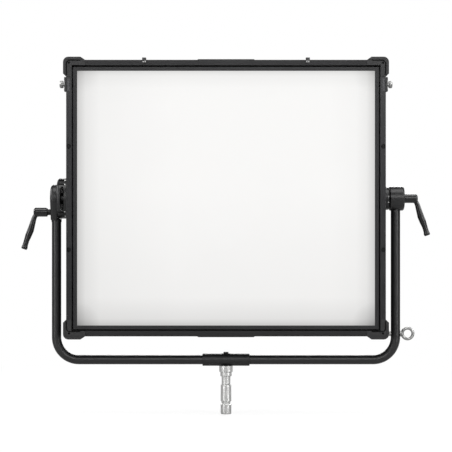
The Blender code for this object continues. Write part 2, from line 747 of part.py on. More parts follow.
def add_fan(side, word):
    """A square fan behind the cover: frame with struts, bladed rotor, and a finger guard outside."""
    centre = (side * FAN_OFFSET, 0, FAN_HEIGHT)
    rear = COVER_BACK_Y - COVER_THICKNESS - GAP
    middle = rear - FAN_DEPTH / 2
    frame = meshed(outlined(
        f"fan_frame_{word}",
        [rectangle(FAN_SIZE / 2, FAN_SIZE / 2, corner=5 * MM, steps=1), circle(FAN_BORE_RADIUS, count=24)],
        FAN_DEPTH, BLACK_PLASTIC, (centre[0], middle, centre[2]), FACING_Y, HEAD))
    strut_back = rear - FAN_DEPTH + FAN_STRUT
    motor = cylinder(f"fan_motor_{word}", FAN_HUB_RADIUS, 0, FAN_STRUT, None,
                     (centre[0], rear - FAN_DEPTH, centre[2]), BACKWARD, HEAD, 16)
    struts = [motor]
    for angle in (QUARTER / 2, -QUARTER / 2):
        strut = block(f"fan_strut_{word}", (-FAN_BORE_RADIUS - MM, -FAN_STRUT * 0.37, -FAN_STRUT / 2),
                      (FAN_BORE_RADIUS + MM, FAN_STRUT * 0.37, FAN_STRUT / 2), None, HEAD)
        strut.location = (centre[0], strut_back - FAN_STRUT / 2, centre[2])
        strut.rotation_euler = (0, angle, 0)
        struts.append(strut)
    unite(frame, *struts)
    spin = axis_empty(f"fan_axis_{word}", (centre[0], strut_back, centre[2]), HEAD)
    start, end = GAP, FAN_DEPTH - FAN_STRUT - MM
    hub = cylinder(f"fan_rotor_{word}", FAN_HUB_RADIUS, start, end, BLACK_PLASTIC, (0, 0, 0), BACKWARD,
                   spin, 21)
    blade = fan_blade(f"fan_blades_{word}", end - start - 2 * MM, spin)
    unite(hub, blade)
    add_fan_guard(f"fan_guard_{word}", centre)


def fan_blade(name, axial, spin):
    """All blades of a rotor: a small grid swept back and twisted from root to tip."""
    root, tip = FAN_HUB_RADIUS - 1.5 * MM, FAN_BORE_RADIUS - FAN_BLADE_TIP_GAP
    bm = bmesh.new()
    for number in range(FAN_BLADES):
        made = bmesh.ops.create_grid(bm, x_segments=3, y_segments=2, size=0.5)["verts"]
        for vert in made:
            along, across = vert.co.x + 0.5, vert.co.y
            radius = root + (tip - root) * along
            pitch = math.radians(58 - 26 * along)
            chord = axial * 0.9
            arc = across * chord * math.sin(pitch) / radius * 1.15
            sweep = 0.22 * along * along
            angle = math.tau * number / FAN_BLADES + arc + sweep
            height = axial * 0.5 + across * chord * math.cos(pitch) * 0.85
            vert.co = (radius * math.cos(angle), radius * math.sin(angle), height + 1.5 * MM)
    blades = add_object(name, mesh_from(bm, name), None, (0, 0, 0), BACKWARD, spin)
    shell = blades.modifiers.new("blade", "SOLIDIFY")
    shell.thickness = FAN_BLADE_THICKNESS
    shell.offset = 0
    return blades


def add_fan_guard(name, centre):
    """Finger guard: a square plate over the opening, with two rings carried by four spokes."""
    thickness = FAN_GUARD_THICKNESS
    half = GUARD_RING_WIDTH / 2
    place = (centre[0], COVER_BACK_Y + GAP + thickness / 2, centre[2])
    loops = [rectangle(FAN_SIZE / 2, FAN_SIZE / 2, corner=7 * MM, steps=2),
             circle(FAN_BORE_RADIUS - MM, count=24)]
    guard = meshed(outlined(name, loops, thickness, BLACK_PAINT, place, FACING_Y, HEAD))
    pieces = []
    for share in (1 / 3, 2 / 3):
        radius = FAN_BORE_RADIUS * share
        ring = outlined(f"{name}_ring", [circle(radius + half, count=12), circle(radius - half, count=12)],
                        thickness * 0.8, None, place, FACING_Y, HEAD)
        pieces.append(meshed(ring))
    for quarter in range(2):
        spoke = block(f"{name}_spoke", (-FAN_BORE_RADIUS - MM, -thickness * 0.3, -half),
                      (FAN_BORE_RADIUS + MM, thickness * 0.3, half), None, HEAD)
        spoke.location = place
        spoke.rotation_euler = (0, QUARTER / 2 + quarter * QUARTER, 0)
        pieces.append(spoke)
    return unite(guard, *pieces)


for fan_side, fan_word in ((-1, "left"), (1, "right")):
    add_fan(fan_side, fan_word)


# ---------------------------------------------------------------- control housing

def add_control_housing():
    """A shallow shell on the rear cover, open towards it, with a sloped top and cut-outs."""
    half = CONTROL_WIDTH / 2
    low_y, high_y = COVER_BACK_Y + GAP, CONTROL_BACK_Y
    bm = bmesh.new()
    made = bmesh.ops.create_cube(bm, size=1)["verts"]
    size = (CONTROL_WIDTH, high_y - low_y, CONTROL_TOP - CONTROL_BOTTOM)
    bmesh.ops.scale(bm, vec=size, verts=made)
    bmesh.ops.translate(bm, vec=(0, (low_y + high_y) / 2, (CONTROL_TOP + CONTROL_BOTTOM) / 2), verts=made)
    for vert in bm.verts:
        if vert.co.y > (low_y + high_y) / 2:
            slope = CONTROL_SLOPE if vert.co.z > (CONTROL_TOP + CONTROL_BOTTOM) / 2 else CONTROL_TAPER
            vert.co.z -= math.copysign(slope, vert.co.z - (CONTROL_TOP + CONTROL_BOTTOM) / 2)
            vert.co.x -= math.copysign(CONTROL_TAPER, vert.co.x)
    front = [face for face in bm.faces if face.normal.y < -0.9]
    bmesh.ops.delete(bm, geom=front, context="FACES_ONLY")
    solid_edges = [edge for edge in bm.edges if not edge.is_boundary]
    bmesh.ops.bevel(bm, geom=solid_edges, offset=CONTROL_EDGE, segments=1, profile=0.5, affect="EDGES",
                    material=-1)
    housing = add_object("control_housing", mesh_from(bm, "control_housing"), BLACK_PLASTIC, parent=HEAD)
    shell = housing.modifiers.new("shell", "SOLIDIFY")
    shell.thickness = CONTROL_WALL
    shell.offset = -1
    shell.use_even_offset = True
    trim = block("housing_trim", (-half, low_y - 2 * CONTROL_WALL, CONTROL_BOTTOM - CONTROL_WALL),
                 (half, low_y, CONTROL_TOP + CONTROL_WALL), None, HEAD)
    cut(housing, trim)
    wall = (high_y - 2 * CONTROL_WALL, high_y + CONTROL_WALL)
    window = block("display_opening",
                   (DISPLAY_X - DISPLAY_WIDTH / 2 - GAP, wall[0],
                    PANEL_HEIGHT - DISPLAY_HEIGHT / 2 - GAP),
                   (DISPLAY_X + DISPLAY_WIDTH / 2 + GAP, wall[1],
                    PANEL_HEIGHT + DISPLAY_HEIGHT / 2 + GAP), None, HEAD)
    cut(housing, window)
    for x in KNOB_X:
        cut(housing, cylinder("knob_hole", KNOB_SHAFT_RADIUS + RUNNING_GAP / 2, -2 * CONTROL_WALL,
                              CONTROL_WALL, None, (x, high_y, PANEL_HEIGHT), BACKWARD, HEAD, 12))
    for x in BUTTON_X:
        cut(housing, cylinder("button_hole", BUTTON_RADIUS + RUNNING_GAP / 2, -2 * CONTROL_WALL,
                              CONTROL_WALL, None, (x, high_y, PANEL_HEIGHT - BUTTON_DROP), BACKWARD,
                              HEAD, 16))
    cut(housing, block("rocker_opening",
                       (ROCKER_X - ROCKER_WIDTH / 2 - RUNNING_GAP, wall[0],
                        PANEL_HEIGHT - ROCKER_LENGTH / 2 - RUNNING_GAP),
                       (ROCKER_X + ROCKER_WIDTH / 2 + RUNNING_GAP, wall[1],
                        PANEL_HEIGHT + ROCKER_LENGTH / 2 + RUNNING_GAP), None, HEAD))
    for x in SOCKET_X:
        cut(housing, cylinder("socket_hole", SOCKET_BODY_RADIUS + GAP, -2 * CONTROL_WALL, 3 * CONTROL_WALL,
                              None, (x, COVER_BACK_Y + SOCKET_SETBACK, CONTROL_BOTTOM), (0, 0, 0), HEAD, 16))
    block("display_window",
          (DISPLAY_X - DISPLAY_WIDTH / 2, high_y - CONTROL_WALL, PANEL_HEIGHT - DISPLAY_HEIGHT / 2),
          (DISPLAY_X + DISPLAY_WIDTH / 2, high_y + 0.3 * MM, PANEL_HEIGHT + DISPLAY_HEIGHT / 2),
          SCREEN_GLASS, HEAD)
    return housing


def add_socket_plate(name, centres):
    """Panel-mount sockets on one flange plate, facing down: round bodies with open bores."""
    y = COVER_BACK_Y + SOCKET_SETBACK
    top = CONTROL_BOTTOM - GAP
    reach = (max(centres) - min(centres)) / 2 + SOCKET_FLANGE_X / 2
    middle = (max(centres) + min(centres)) / 2
    bores = [circle(SOCKET_BORE_RADIUS, (x - middle, 0), 14) for x in centres]
    plate = meshed(outlined(name, [rectangle(reach, SOCKET_FLANGE_Y / 2, corner=3 * MM)] + bores,
                            SOCKET_FLANGE, BLACK_PLASTIC, (middle, y, top - SOCKET_FLANGE / 2),
                            parent=HEAD))
    for x in centres:
        inside = SOCKET_BORE_RADIUS + GAP
        body = turned(f"{name}_body", [
            (0, SOCKET_LENGTH), (SOCKET_BODY_RADIUS, SOCKET_LENGTH), (SOCKET_BODY_RADIUS, -MM),
            (inside, -MM), (inside, SOCKET_BORE_DEPTH), (0, SOCKET_BORE_DEPTH),
        ], None, (x, y, top), (0, 0, QUARTER / 9), HEAD, 12)
        unite(plate, body)


def add_knob(word, x):
    """An encoder knob: fluted cap on a shaft that goes through the panel."""
    axis = axis_empty(f"knob_axis_{word}", (x, CONTROL_BACK_Y, PANEL_HEIGHT), HEAD)
    outline = []
    for i in range(KNOB_FLUTES * 2):
        radius = KNOB_RADIUS - (KNOB_FLUTE_DEPTH if i % 2 else 0)
        angle = math.tau * i / (KNOB_FLUTES * 2)
        outline.append((radius * math.cos(angle), radius * math.sin(angle)))
    cap = meshed(outlined(f"encoder_knob_{word}", [outline], KNOB_HEIGHT, BLACK_PLASTIC,
                          (0, GAP + KNOB_HEIGHT / 2, 0), BACKWARD, axis))
    shaft = cylinder(f"knob_shaft_{word}", KNOB_SHAFT_RADIUS, -CONTROL_WALL - KNOB_SHAFT, MM, None,
                     (0, 0, 0), BACKWARD, axis, 16)
    return unite(cap, shaft)


def add_button(word, x):
    """A push button whose flange is kept behind the panel."""
    inner = -CONTROL_WALL - GAP
    profile = [
        (0, BUTTON_PROUD), (BUTTON_RADIUS - MM, BUTTON_PROUD), (BUTTON_RADIUS, BUTTON_PROUD - MM),
        (BUTTON_RADIUS, inner), (BUTTON_RADIUS + 2 * MM, inner),
        (BUTTON_RADIUS + 2 * MM, inner - 1.5 * MM),
        (0, inner - 1.5 * MM),
    ]
    return turned(f"button_{word}", profile, BLACK_PLASTIC,
                  (x, CONTROL_BACK_Y, PANEL_HEIGHT - BUTTON_DROP), BACKWARD, HEAD, 16)


def add_rocker():
    """Power rocker: a shallow V that tips about a hinge behind the panel."""
    axis = axis_empty("rocker_axis", (ROCKER_X, CONTROL_BACK_Y - 3 * MM, PANEL_HEIGHT), HEAD)
    half = ROCKER_LENGTH / 2 - MM
    outline = [(-half, -MM), (-half, 5.5 * MM), (0, 3.2 * MM), (half, 3.2 * MM), (half, -MM),
               (0, -4 * MM)]
    turn = FACING_X
    points = [(back, height) for height, back in outline]
    return outlined("power_rocker", [points], ROCKER_WIDTH, BLACK_PLASTIC, (0, 0, 0), turn, axis)


add_control_housing()
add_socket_plate("mains_inlet", SOCKET_X[:1])
add_socket_plate("data_sockets", SOCKET_X[1:])
for knob_word, knob_x in zip(("left", "right"), KNOB_X):
    add_knob(knob_word, knob_x)
for button_word, button_x in zip(("menu", "mode"), BUTTON_X):
    add_button(button_word, button_x)
add_rocker()


def add_electronics():
    """Driver board on four posts inside the control housing, and the supply behind the light box."""
    low = COVER_BACK_Y + GAP
    face = low + BOARD_STANDOFF
    bottom, top = CONTROL_BOTTOM + BOARD_MARGIN, CONTROL_TOP - BOARD_MARGIN
    board = block("driver_board", (-BOARD_WIDTH / 2, face, bottom),
                  (BOARD_WIDTH / 2, face + BOARD_THICKNESS, top), BOARD_GREEN, HEAD)
    for sx in (-1, 1):
        for z in (bottom + POST_INSET, top - POST_INSET):
            unite(board, cylinder("board_post", POST_RADIUS, 0, BOARD_STANDOFF + BOARD_THICKNESS / 2, None,
                                  (sx * (BOARD_WIDTH / 2 - POST_INSET), low, z), BACKWARD, HEAD, 12))
    for x, width, height in CHIPS:
        chip = block("board_chip", (x, face + BOARD_THICKNESS / 2, PANEL_HEIGHT - CHIP_DROP),
                     (x + width, face + BOARD_THICKNESS / 2 + height, PANEL_HEIGHT - CHIP_DROP + width),
                     None, HEAD)
        unite(board, chip)
    front = FRONT_Y + ENGINE_BACK
    depth = COVER_SEAT - ENGINE_BACK - SUPPLY_CLEARANCE
    block("power_supply", (SUPPLY_X[0], front, SUPPLY_Z[0]), (SUPPLY_X[1], front + depth, SUPPLY_Z[1]),
          GALVANISED, HEAD, SUPPLY_CHAMFER)


add_electronics()


# ---------------------------------------------------------------- guards, plates, clips, handles

def add_corner_guard(name, sx, sz):
    """A cast cap over one corner: rim outside the rails, L faces on the front and the back."""
    reach_x, reach_z = GUARD_ARM_X - GUARD_PROUD, GUARD_ARM_Z - GUARD_PROUD
    out, face = GUARD_PROUD, GUARD_FACE_WIDTH
    points = [(-reach_x, out), (-reach_x - GUARD_SLOPE_X, 0), (-reach_x - GUARD_SLOPE_X, -face),
              (-face, -face), (-face, -reach_z - GUARD_SLOPE_Z), (0, -reach_z - GUARD_SLOPE_Z),
              (out, -reach_z)]
    centre = out - GUARD_RADIUS
    for step in range(7):
        angle = QUARTER * step / 6
        points.append((centre + GUARD_RADIUS * math.cos(angle), centre + GUARD_RADIUS * math.sin(angle)))
    outline = [(sx * (HALF_WIDTH + x), sz * (HALF_HEIGHT + z)) for x, z in points]
    depth = HEAD_DEPTH + 2 * GUARD_FACE_PROUD
    guard = meshed(outlined(name, [outline], depth, BLACK_PLASTIC, (0, (FRONT_Y + BACK_Y) / 2, 0),
                            FACING_Y, HEAD))
    cut(guard, GUARD_HOLLOW, *GUARD_SEAMS)
    for y in (FRONT_Y, BACK_Y):
        hole = cylinder(f"{name}_screw_hole", GUARD_SCREW_RADIUS, -2 * GUARD_FACE_PROUD,
                        2 * GUARD_FACE_PROUD, None,
                        (sx * (HALF_WIDTH - GUARD_SCREW_INSET), y, sz * (HALF_HEIGHT - GUARD_SCREW_INSET)),
                        FACING_Y, HEAD, 16)
        cut(guard, hole)
    return guard


GUARD_HOLLOW = block("guard_hollow", (-HALF_WIDTH - GAP, FRONT_Y - GAP, -HALF_HEIGHT - GAP),
                     (HALF_WIDTH + GAP, BACK_Y + GAP, HALF_HEIGHT + GAP), None, HEAD)
GUARD_SEAMS = []
for seam_y in (FRONT_Y - GUARD_FACE_PROUD, BACK_Y + GUARD_FACE_PROUD):
    seam_outer = rectangle(HALF_WIDTH + GUARD_SEAM, HALF_HEIGHT + GUARD_SEAM)
    seam_inner = rectangle(HALF_WIDTH, HALF_HEIGHT)
    GUARD_SEAMS.append(meshed(outlined("guard_seam", [seam_outer, seam_inner], GUARD_FACE_PROUD, None,
                                       (0, seam_y, 0), FACING_Y, HEAD)))

for vertical, guard_z in (("top", 1), ("bottom", -1)):
    for horizontal, guard_x in (("left", -1), ("right", 1)):
        add_corner_guard(f"corner_guard_{vertical}_{horizontal}", guard_x, guard_z)


def add_centre_plates():
    for word, sz in (("top", 1), ("bottom", -1)):
        near, far = sorted((sz * (HALF_HEIGHT + GAP), sz * (HALF_HEIGHT + CENTRE_PLATE_PROUD)))
        block(f"{word}_plate", (-CENTRE_PLATE_LENGTH / 2, FRONT_Y + CENTRE_PLATE_MARGIN, near),
              (CENTRE_PLATE_LENGTH / 2, BACK_Y - CENTRE_PLATE_MARGIN, far), BLACK_ANODISED, HEAD,
              0.8 * MM)


def add_top_clips():
    """Hooks on the front of the top rail, bent from flat strip, for hanging accessories."""
    front = FRONT_Y - GAP - CLIP_THICKNESS
    top = HALF_HEIGHT + CLIP_HEIGHT
    outline = [
        (front, HALF_HEIGHT - CLIP_TAB), (FRONT_Y - GAP, HALF_HEIGHT - CLIP_TAB),
        (FRONT_Y - GAP, top - CLIP_THICKNESS), (FRONT_Y + CLIP_HOOK, top - CLIP_THICKNESS),
        (FRONT_Y + CLIP_HOOK, top), (front + MM, top), (front, top - MM),
    ]
    for word, side in (("left", -1), ("right", 1)):
        outlined(f"top_clip_{word}", [outline], CLIP_WIDTH, BLACK_PAINT, (side * CLIP_OFFSET, 0, 0),
                 FACING_X, HEAD)


def arc_points(centre, radius, start, end, steps):
    """Points of an arc in the local XY plane, angles in quarter turns."""
    return [(centre[0] + radius * math.cos(QUARTER * (start + (end - start) * i / steps)),
             centre[1] + radius * math.sin(QUARTER * (start + (end - start) * i / steps)))
            for i in range(steps + 1)]


def add_rear_handle(word, side):
    """A bent grab handle on two feet."""
    base = COVER_BACK_Y + GAP
    reach = base + HANDLE_STAND
    upper = arc_points((reach - HANDLE_BEND, HANDLE_HALF - HANDLE_BEND), HANDLE_BEND, 1, 0, 4)
    path = [(base + MM, HANDLE_HALF)] + upper
    path += [(y, -z) for y, z in reversed(path)]
    points = [(0, y, z) for y, z in path]
    bar = meshed(rod_curve(f"rear_handle_{word}", points, HANDLE_RADIUS, PAINTED_ALUMINIUM,
                           (side * HANDLE_X, 0, 0), parent=HEAD, resolution=2))
    for sz in (-1, 1):
        foot = turned(f"handle_foot_{word}", [
            (0, HANDLE_FOOT), (HANDLE_FOOT_RADIUS - MM, HANDLE_FOOT),
            (HANDLE_FOOT_RADIUS, HANDLE_FOOT - MM), (HANDLE_FOOT_RADIUS, 0), (0, 0),
        ], None, (side * HANDLE_X, base, sz * HANDLE_HALF), BACKWARD, HEAD, 16)
        unite(bar, foot)
    return bar


add_centre_plates()
add_top_clips()
for handle_word, handle_side in (("left", -1), ("right", 1)):
    add_rear_handle(handle_word, handle_side)


# ---------------------------------------------------------------- pull pins

def add_latch(word, side, rail):
    """A plate on the side rail and a pin that slides out of the bezel frame when its knob is pulled."""
    place = (side * HALF_WIDTH, LATCH_Y, LATCH_HEIGHT)
    axis = axis_empty(f"latch_axis_{word}", place, HEAD)
    hole = cylinder(f"latch_hole_{word}", LATCH_PIN_RADIUS + RUNNING_GAP / 2, -RING_WIDTH - MM,
                    LATCH_PLATE_THICKNESS + MM, None, place, outward(side), HEAD, 16)
    cut(rail, hole)
    near, far = sorted((side * (HALF_WIDTH + GAP), side * (HALF_WIDTH + LATCH_PLATE_THICKNESS)))
    plate = block(f"latch_plate_{word}",
                  (near, LATCH_Y - LATCH_PLATE_WIDTH / 2, LATCH_HEIGHT - LATCH_PLATE_LENGTH / 2),
                  (far, LATCH_Y + LATCH_PLATE_WIDTH / 2, LATCH_HEIGHT + LATCH_PLATE_LENGTH / 2),
                  BLACK_PAINT, HEAD)
    cut(plate, hole)
    neck = LATCH_PLATE_THICKNESS + GAP
    head = neck + LATCH_NECK_LENGTH
    end = head + LATCH_KNOB_LENGTH
    tip = -RING_WIDTH - CHANNEL_WIDTH - 2 * MM
    profile = [
        (0, end), (LATCH_KNOB_RADIUS - 3 * MM, end), (LATCH_KNOB_RADIUS, end - 2.5 * MM),
        (LATCH_KNOB_RADIUS, head + 2 * MM), (LATCH_KNOB_RADIUS - 2 * MM, head), (LATCH_NECK_RADIUS, head),
        (LATCH_NECK_RADIUS, neck), (LATCH_PIN_RADIUS, neck), (LATCH_PIN_RADIUS, tip + MM),
        (LATCH_PIN_RADIUS - MM, tip), (0, tip),
    ]
    return turned(f"latch_pin_{word}", profile, BRIGHT_STEEL, (0, 0, 0), outward(side), axis, 20)


add_latch("left", -1, LEFT_RAIL)
add_latch("right", 1, RIGHT_RAIL)


# ---------------------------------------------------------------- pivots

def add_brake_drum():
    """A cup bolted to the left rail: slotted disc, rim with side windows, and a bored boss."""
    rim = DRUM_RADIUS - DRUM_RIM
    floor = DRUM_LENGTH - DRUM_DISC
    profile = [(PIVOT_BOLT_RADIUS + GAP, DRUM_LENGTH), (DRUM_RADIUS - DRUM_ROUNDING, DRUM_LENGTH)]
    for step in range(1, 4):
        angle = QUARTER * (1 - step / 3)
        profile.append((DRUM_RADIUS - DRUM_ROUNDING + DRUM_ROUNDING * math.cos(angle),
                        DRUM_LENGTH - DRUM_ROUNDING + DRUM_ROUNDING * math.sin(angle)))
    profile += [(DRUM_RADIUS, GAP), (rim, GAP), (rim, floor), (DRUM_BOSS_RADIUS, floor),
                (DRUM_BOSS_RADIUS, GAP), (PIVOT_BOLT_RADIUS + GAP, GAP)]
    drum = turned("brake_drum", profile, PAINTED_ALUMINIUM, (-HALF_WIDTH, 0, 0), outward(-1), HEAD, 32)
    slot = meshed(outlined("brake_slot",
                           [slot_outline(CLAMP_DROP, STUD_RADIUS + RUNNING_GAP / 2, SLOT_HALF_ANGLE,
                                         -QUARTER)],
                           3 * DRUM_DISC, None, (-HALF_WIDTH - DRUM_LENGTH, 0, 0), FACING_X, HEAD))
    lens_radius = (WINDOW_HALF_HEIGHT ** 2 + WINDOW_HALF_WIDTH ** 2) / (2 * WINDOW_HALF_WIDTH)
    half_arc = math.asin(WINDOW_HALF_HEIGHT / lens_radius)
    lens = []
    for side in (1, -1):
        for step in range(6):
            angle = half_arc * (2 * step / 6 - 1)
            lens.append((side * (lens_radius * math.cos(angle) - lens_radius + WINDOW_HALF_WIDTH),
                         side * lens_radius * math.sin(angle)))
    windows = []
    for sy in (-1, 1):
        windows.append(meshed(outlined("drum_window", [lens], 24 * MM, None,
                                       (-HALF_WIDTH - WINDOW_OFFSET, sy * (DRUM_RADIUS - 8 * MM), 0),
                                       FACING_Y, HEAD)))
    cut(drum, slot, *windows)
    for angle in (math.radians(degrees) for degrees in DRUM_SCREW_ANGLES):
        place = (-HALF_WIDTH, DRUM_SCREW_CIRCLE * math.sin(angle), DRUM_SCREW_CIRCLE * math.cos(angle))
        cut(drum, cylinder("drum_screw_pocket", PIVOT_SCREW_HEAD_RADIUS + GAP, DRUM_SCREW_SEAT,
                           DRUM_LENGTH + MM, None, place, outward(-1), HEAD, 8))
    return drum


def add_left_yoke_head():
    """Rounded plate on the left leg, with a foot and a spigot that goes into the tube."""
    outline = []
    for step in range(13):
        angle = math.radians(-12 + 204 * step / 12)
        outline.append((PLATE_TOP_RADIUS * math.cos(angle), PLATE_TOP_RADIUS * math.sin(angle)))
    bottom = -PLATE_DROP - FOOT_HEIGHT / 2
    outline += [(-PLATE_FOOT_HALF, bottom), (PLATE_FOOT_HALF, bottom)]
    middle = PLATE_START + PLATE_THICKNESS / 2
    plate = meshed(outlined("left_yoke_head", [outline], PLATE_THICKNESS, PAINTED_ALUMINIUM,
                            (-HALF_WIDTH - middle, 0, PIVOT_HEIGHT), FACING_X))
    round_outer_edges(plate)
    foot_top = PIVOT_HEIGHT - PLATE_DROP
    foot = cylinder("left_foot", TUBE_RADIUS + 0.8 * MM, -FOOT_HEIGHT, 0, None, (-LEG_X, 0, foot_top))
    spigot = cylinder("left_spigot", TUBE_RADIUS - TUBE_WALL - 2 * GAP, -FOOT_HEIGHT - SPIGOT_LENGTH,
                      -FOOT_HEIGHT / 2, None, (-LEG_X, 0, foot_top))
    unite(plate, foot, spigot)
    place = (-HALF_WIDTH, 0, PIVOT_HEIGHT)
    bore = cylinder("pivot_bore", PIVOT_BOLT_RADIUS + GAP, PLATE_START - MM, PLATE_END + MM, None, place,
                    outward(-1), steps=28)
    stud_hole = cylinder("clamp_bore", STUD_RADIUS + RUNNING_GAP / 2, PLATE_START - MM, PLATE_END + MM,
                         None, (place[0], 0, PIVOT_HEIGHT - CLAMP_DROP), outward(-1), steps=24)
    return cut(plate, bore, stud_hole)


def round_outer_edges(plate):
    """Round the rim of the plate's outer face, except along its foot."""
    bm = bmesh.new()
    bm.from_mesh(plate.data)
    half = PLATE_THICKNESS / 2
    bmesh.ops.dissolve_limit(bm, angle_limit=0.01, verts=bm.verts, edges=bm.edges)
    rim = [
        edge for edge in bm.edges
        if all(vert.co.z < -half * 0.99 for vert in edge.verts)
        and any(vert.co.y > -PLATE_DROP for vert in edge.verts)
    ]
    bmesh.ops.bevel(bm, geom=rim, offset=PLATE_ROUNDING, segments=3, profile=0.5, affect="EDGES",
                    material=-1)
    bm.to_mesh(plate.data)
    bm.free()


def hexagon(across):
    return circle(across / math.sqrt(3), count=6)


def add_left_pivot():
    place = (-HALF_WIDTH, 0, PIVOT_HEIGHT)
    start, seat = 3 * MM, PLATE_END + GAP
    profile = [
        (0, seat + PIVOT_HEAD_HEIGHT), (PIVOT_HEAD_RADIUS - MM, seat + PIVOT_HEAD_HEIGHT),
        (PIVOT_HEAD_RADIUS, seat + 0.4 * MM), (PIVOT_HEAD_RADIUS, seat), (PIVOT_BOLT_RADIUS, seat),
        (PIVOT_BOLT_RADIUS, start), (0, start),
    ]
    turned("left_pivot_bolt", profile, BLACK_PAINT, place, outward(-1), steps=28)
    nut_middle = DRUM_LENGTH - DRUM_DISC - GAP - NUT_THICKNESS / 2
    outlined("left_clamp_nut", [hexagon(NUT_ACROSS), circle(STUD_RADIUS + GAP, count=16)], NUT_THICKNESS,
             BRIGHT_STEEL, (-HALF_WIDTH - nut_middle, 0, PIVOT_HEIGHT - CLAMP_DROP), FACING_X)


def add_right_pivot():
    """Flange with a hollow axle on the head, a bush, and the round casting on the right leg."""
    bush_outer = AXLE_RADIUS + GAP + BUSH_WALL
    axle_end = CASTING_END - CASTING_END_WALL - MM
    socket_start = CASTING_START + 5 * MM
    profile = [
        (0, socket_start), (STUD_RADIUS + RUNNING_GAP / 2, socket_start),
        (STUD_RADIUS + RUNNING_GAP / 2, axle_end), (AXLE_RADIUS - 0.5 * MM, axle_end),
        (AXLE_RADIUS, axle_end - 0.5 * MM), (AXLE_RADIUS, CASTING_START - MM),
        (BOSS_RADIUS, CASTING_START - MM), (BOSS_RADIUS, FLANGE_THICKNESS + GAP),
        (FLANGE_RADIUS, FLANGE_THICKNESS + GAP), (FLANGE_RADIUS, GAP), (0, GAP),
    ]
    turned("right_pivot_flange", profile, PAINTED_ALUMINIUM, (HALF_WIDTH, 0, 0), outward(1), HEAD, 24)
    place = (HALF_WIDTH, 0, PIVOT_HEIGHT)
    bush = [(AXLE_RADIUS + GAP, axle_end), (bush_outer, axle_end), (bush_outer, CASTING_START + GAP),
            (AXLE_RADIUS + GAP, CASTING_START + GAP)]
    turned("right_pivot_bush", bush, BRONZE, place, outward(1), steps=28)
    bore = bush_outer + GAP
    profile = [(STUD_RADIUS + RUNNING_GAP / 2, CASTING_END), (CASTING_RADIUS - CASTING_ROUNDING, CASTING_END)]
    for step in range(1, 4):
        angle = QUARTER * (1 - step / 3)
        profile.append((CASTING_RADIUS - CASTING_ROUNDING * (1 - math.cos(angle)),
                        CASTING_END - CASTING_ROUNDING * (1 - math.sin(angle))))
    profile += [(CASTING_RADIUS, CASTING_START + MM), (CASTING_RADIUS - MM, CASTING_START),
                (bore, CASTING_START), (bore, CASTING_END - CASTING_END_WALL),
                (STUD_RADIUS + RUNNING_GAP / 2, CASTING_END - CASTING_END_WALL)]
    casting = turned("right_yoke_drum", profile, PAINTED_ALUMINIUM, place, outward(1), steps=24)
    socket = cylinder("tube_socket", TUBE_RADIUS + GAP, -CASTING_RADIUS - 5 * MM, -TUBE_SOCKET_DROP + GAP,
                      None, (LEG_X, 0, PIVOT_HEIGHT), steps=24)
    return cut(casting, socket)


add_brake_drum()
add_left_yoke_head()
add_left_pivot()
add_right_pivot()


# ---------------------------------------------------------------- yoke tube, sleeve, pin

def add_yoke_tube():
    """The bent tube: an open swept skin given its wall, drilled for the bolt and the eye."""
    left_top = PIVOT_HEIGHT - PLATE_DROP - FOOT_HEIGHT - GAP
    right_top = PIVOT_HEIGHT - TUBE_SOCKET_DROP
    bend_x, bend_z = LEG_X - YOKE_BEND, YOKE_BASE_HEIGHT + YOKE_BEND
    path = [(-LEG_X, left_top)]
    path += arc_points((-bend_x, bend_z), YOKE_BEND, -2, -1, 6)
    path += arc_points((bend_x, bend_z), YOKE_BEND, -1, 0, 6)
    path.append((LEG_X, right_top))
    points = [(x, 0, z) for x, z in path]
    tube = meshed(rod_curve("yoke_tube", points, TUBE_RADIUS, BLACK_PAINT, resolution=6, caps=False))
    wall = tube.modifiers.new("wall", "SOLIDIFY")
    wall.thickness = TUBE_WALL
    wall.offset = -1
    wall.use_even_offset = True
    return tube


def add_base():
    place = (0, 0, YOKE_BASE_HEIGHT)
    half = SLEEVE_LENGTH / 2
    bore = TUBE_RADIUS + GAP
    profile = [(bore, half), (SLEEVE_RADIUS - MM, half), (SLEEVE_RADIUS, half - MM),
               (SLEEVE_RADIUS, -half + MM), (SLEEVE_RADIUS - MM, -half), (bore, -half)]
    sleeve = turned("yoke_sleeve", profile, BLACK_PAINT, place, outward(1), steps=24)
    bolt_hole = cylinder("sleeve_bolt_hole", BOLT_RADIUS + GAP, BOLT_TIP_HEIGHT,
                         YOKE_BASE_HEIGHT + SLEEVE_RADIUS + 5 * MM, None, (0, 0, 0), steps=12)
    seat = cylinder("washer_seat", WASHER_RADIUS + GAP, WASHER_SEAT, SLEEVE_RADIUS + 5 * MM, None, place,
                    steps=20)
    cut(sleeve, bolt_hole, seat)
    cut(YOKE_TUBE, bolt_hole)
    washer = YOKE_BASE_HEIGHT + WASHER_SEAT + GAP
    top = washer + WASHER_THICKNESS
    profile = [
        (0, top + BOLT_HEAD_HEIGHT - 2.5 * MM), (3.4 * MM, top + BOLT_HEAD_HEIGHT - 2.5 * MM),
        (3.4 * MM, top + BOLT_HEAD_HEIGHT), (BOLT_HEAD_RADIUS - 0.6 * MM, top + BOLT_HEAD_HEIGHT),
        (BOLT_HEAD_RADIUS, top + BOLT_HEAD_HEIGHT - 0.6 * MM), (BOLT_HEAD_RADIUS, top),
        (WASHER_RADIUS, top), (WASHER_RADIUS, washer), (BOLT_RADIUS, washer),
        (BOLT_RADIUS, BOLT_TIP_HEIGHT + MM), (0, BOLT_TIP_HEIGHT + MM),
    ]
    turned("sleeve_bolt", profile, BLACK_PAINT, (0, 0, 0), steps=16)


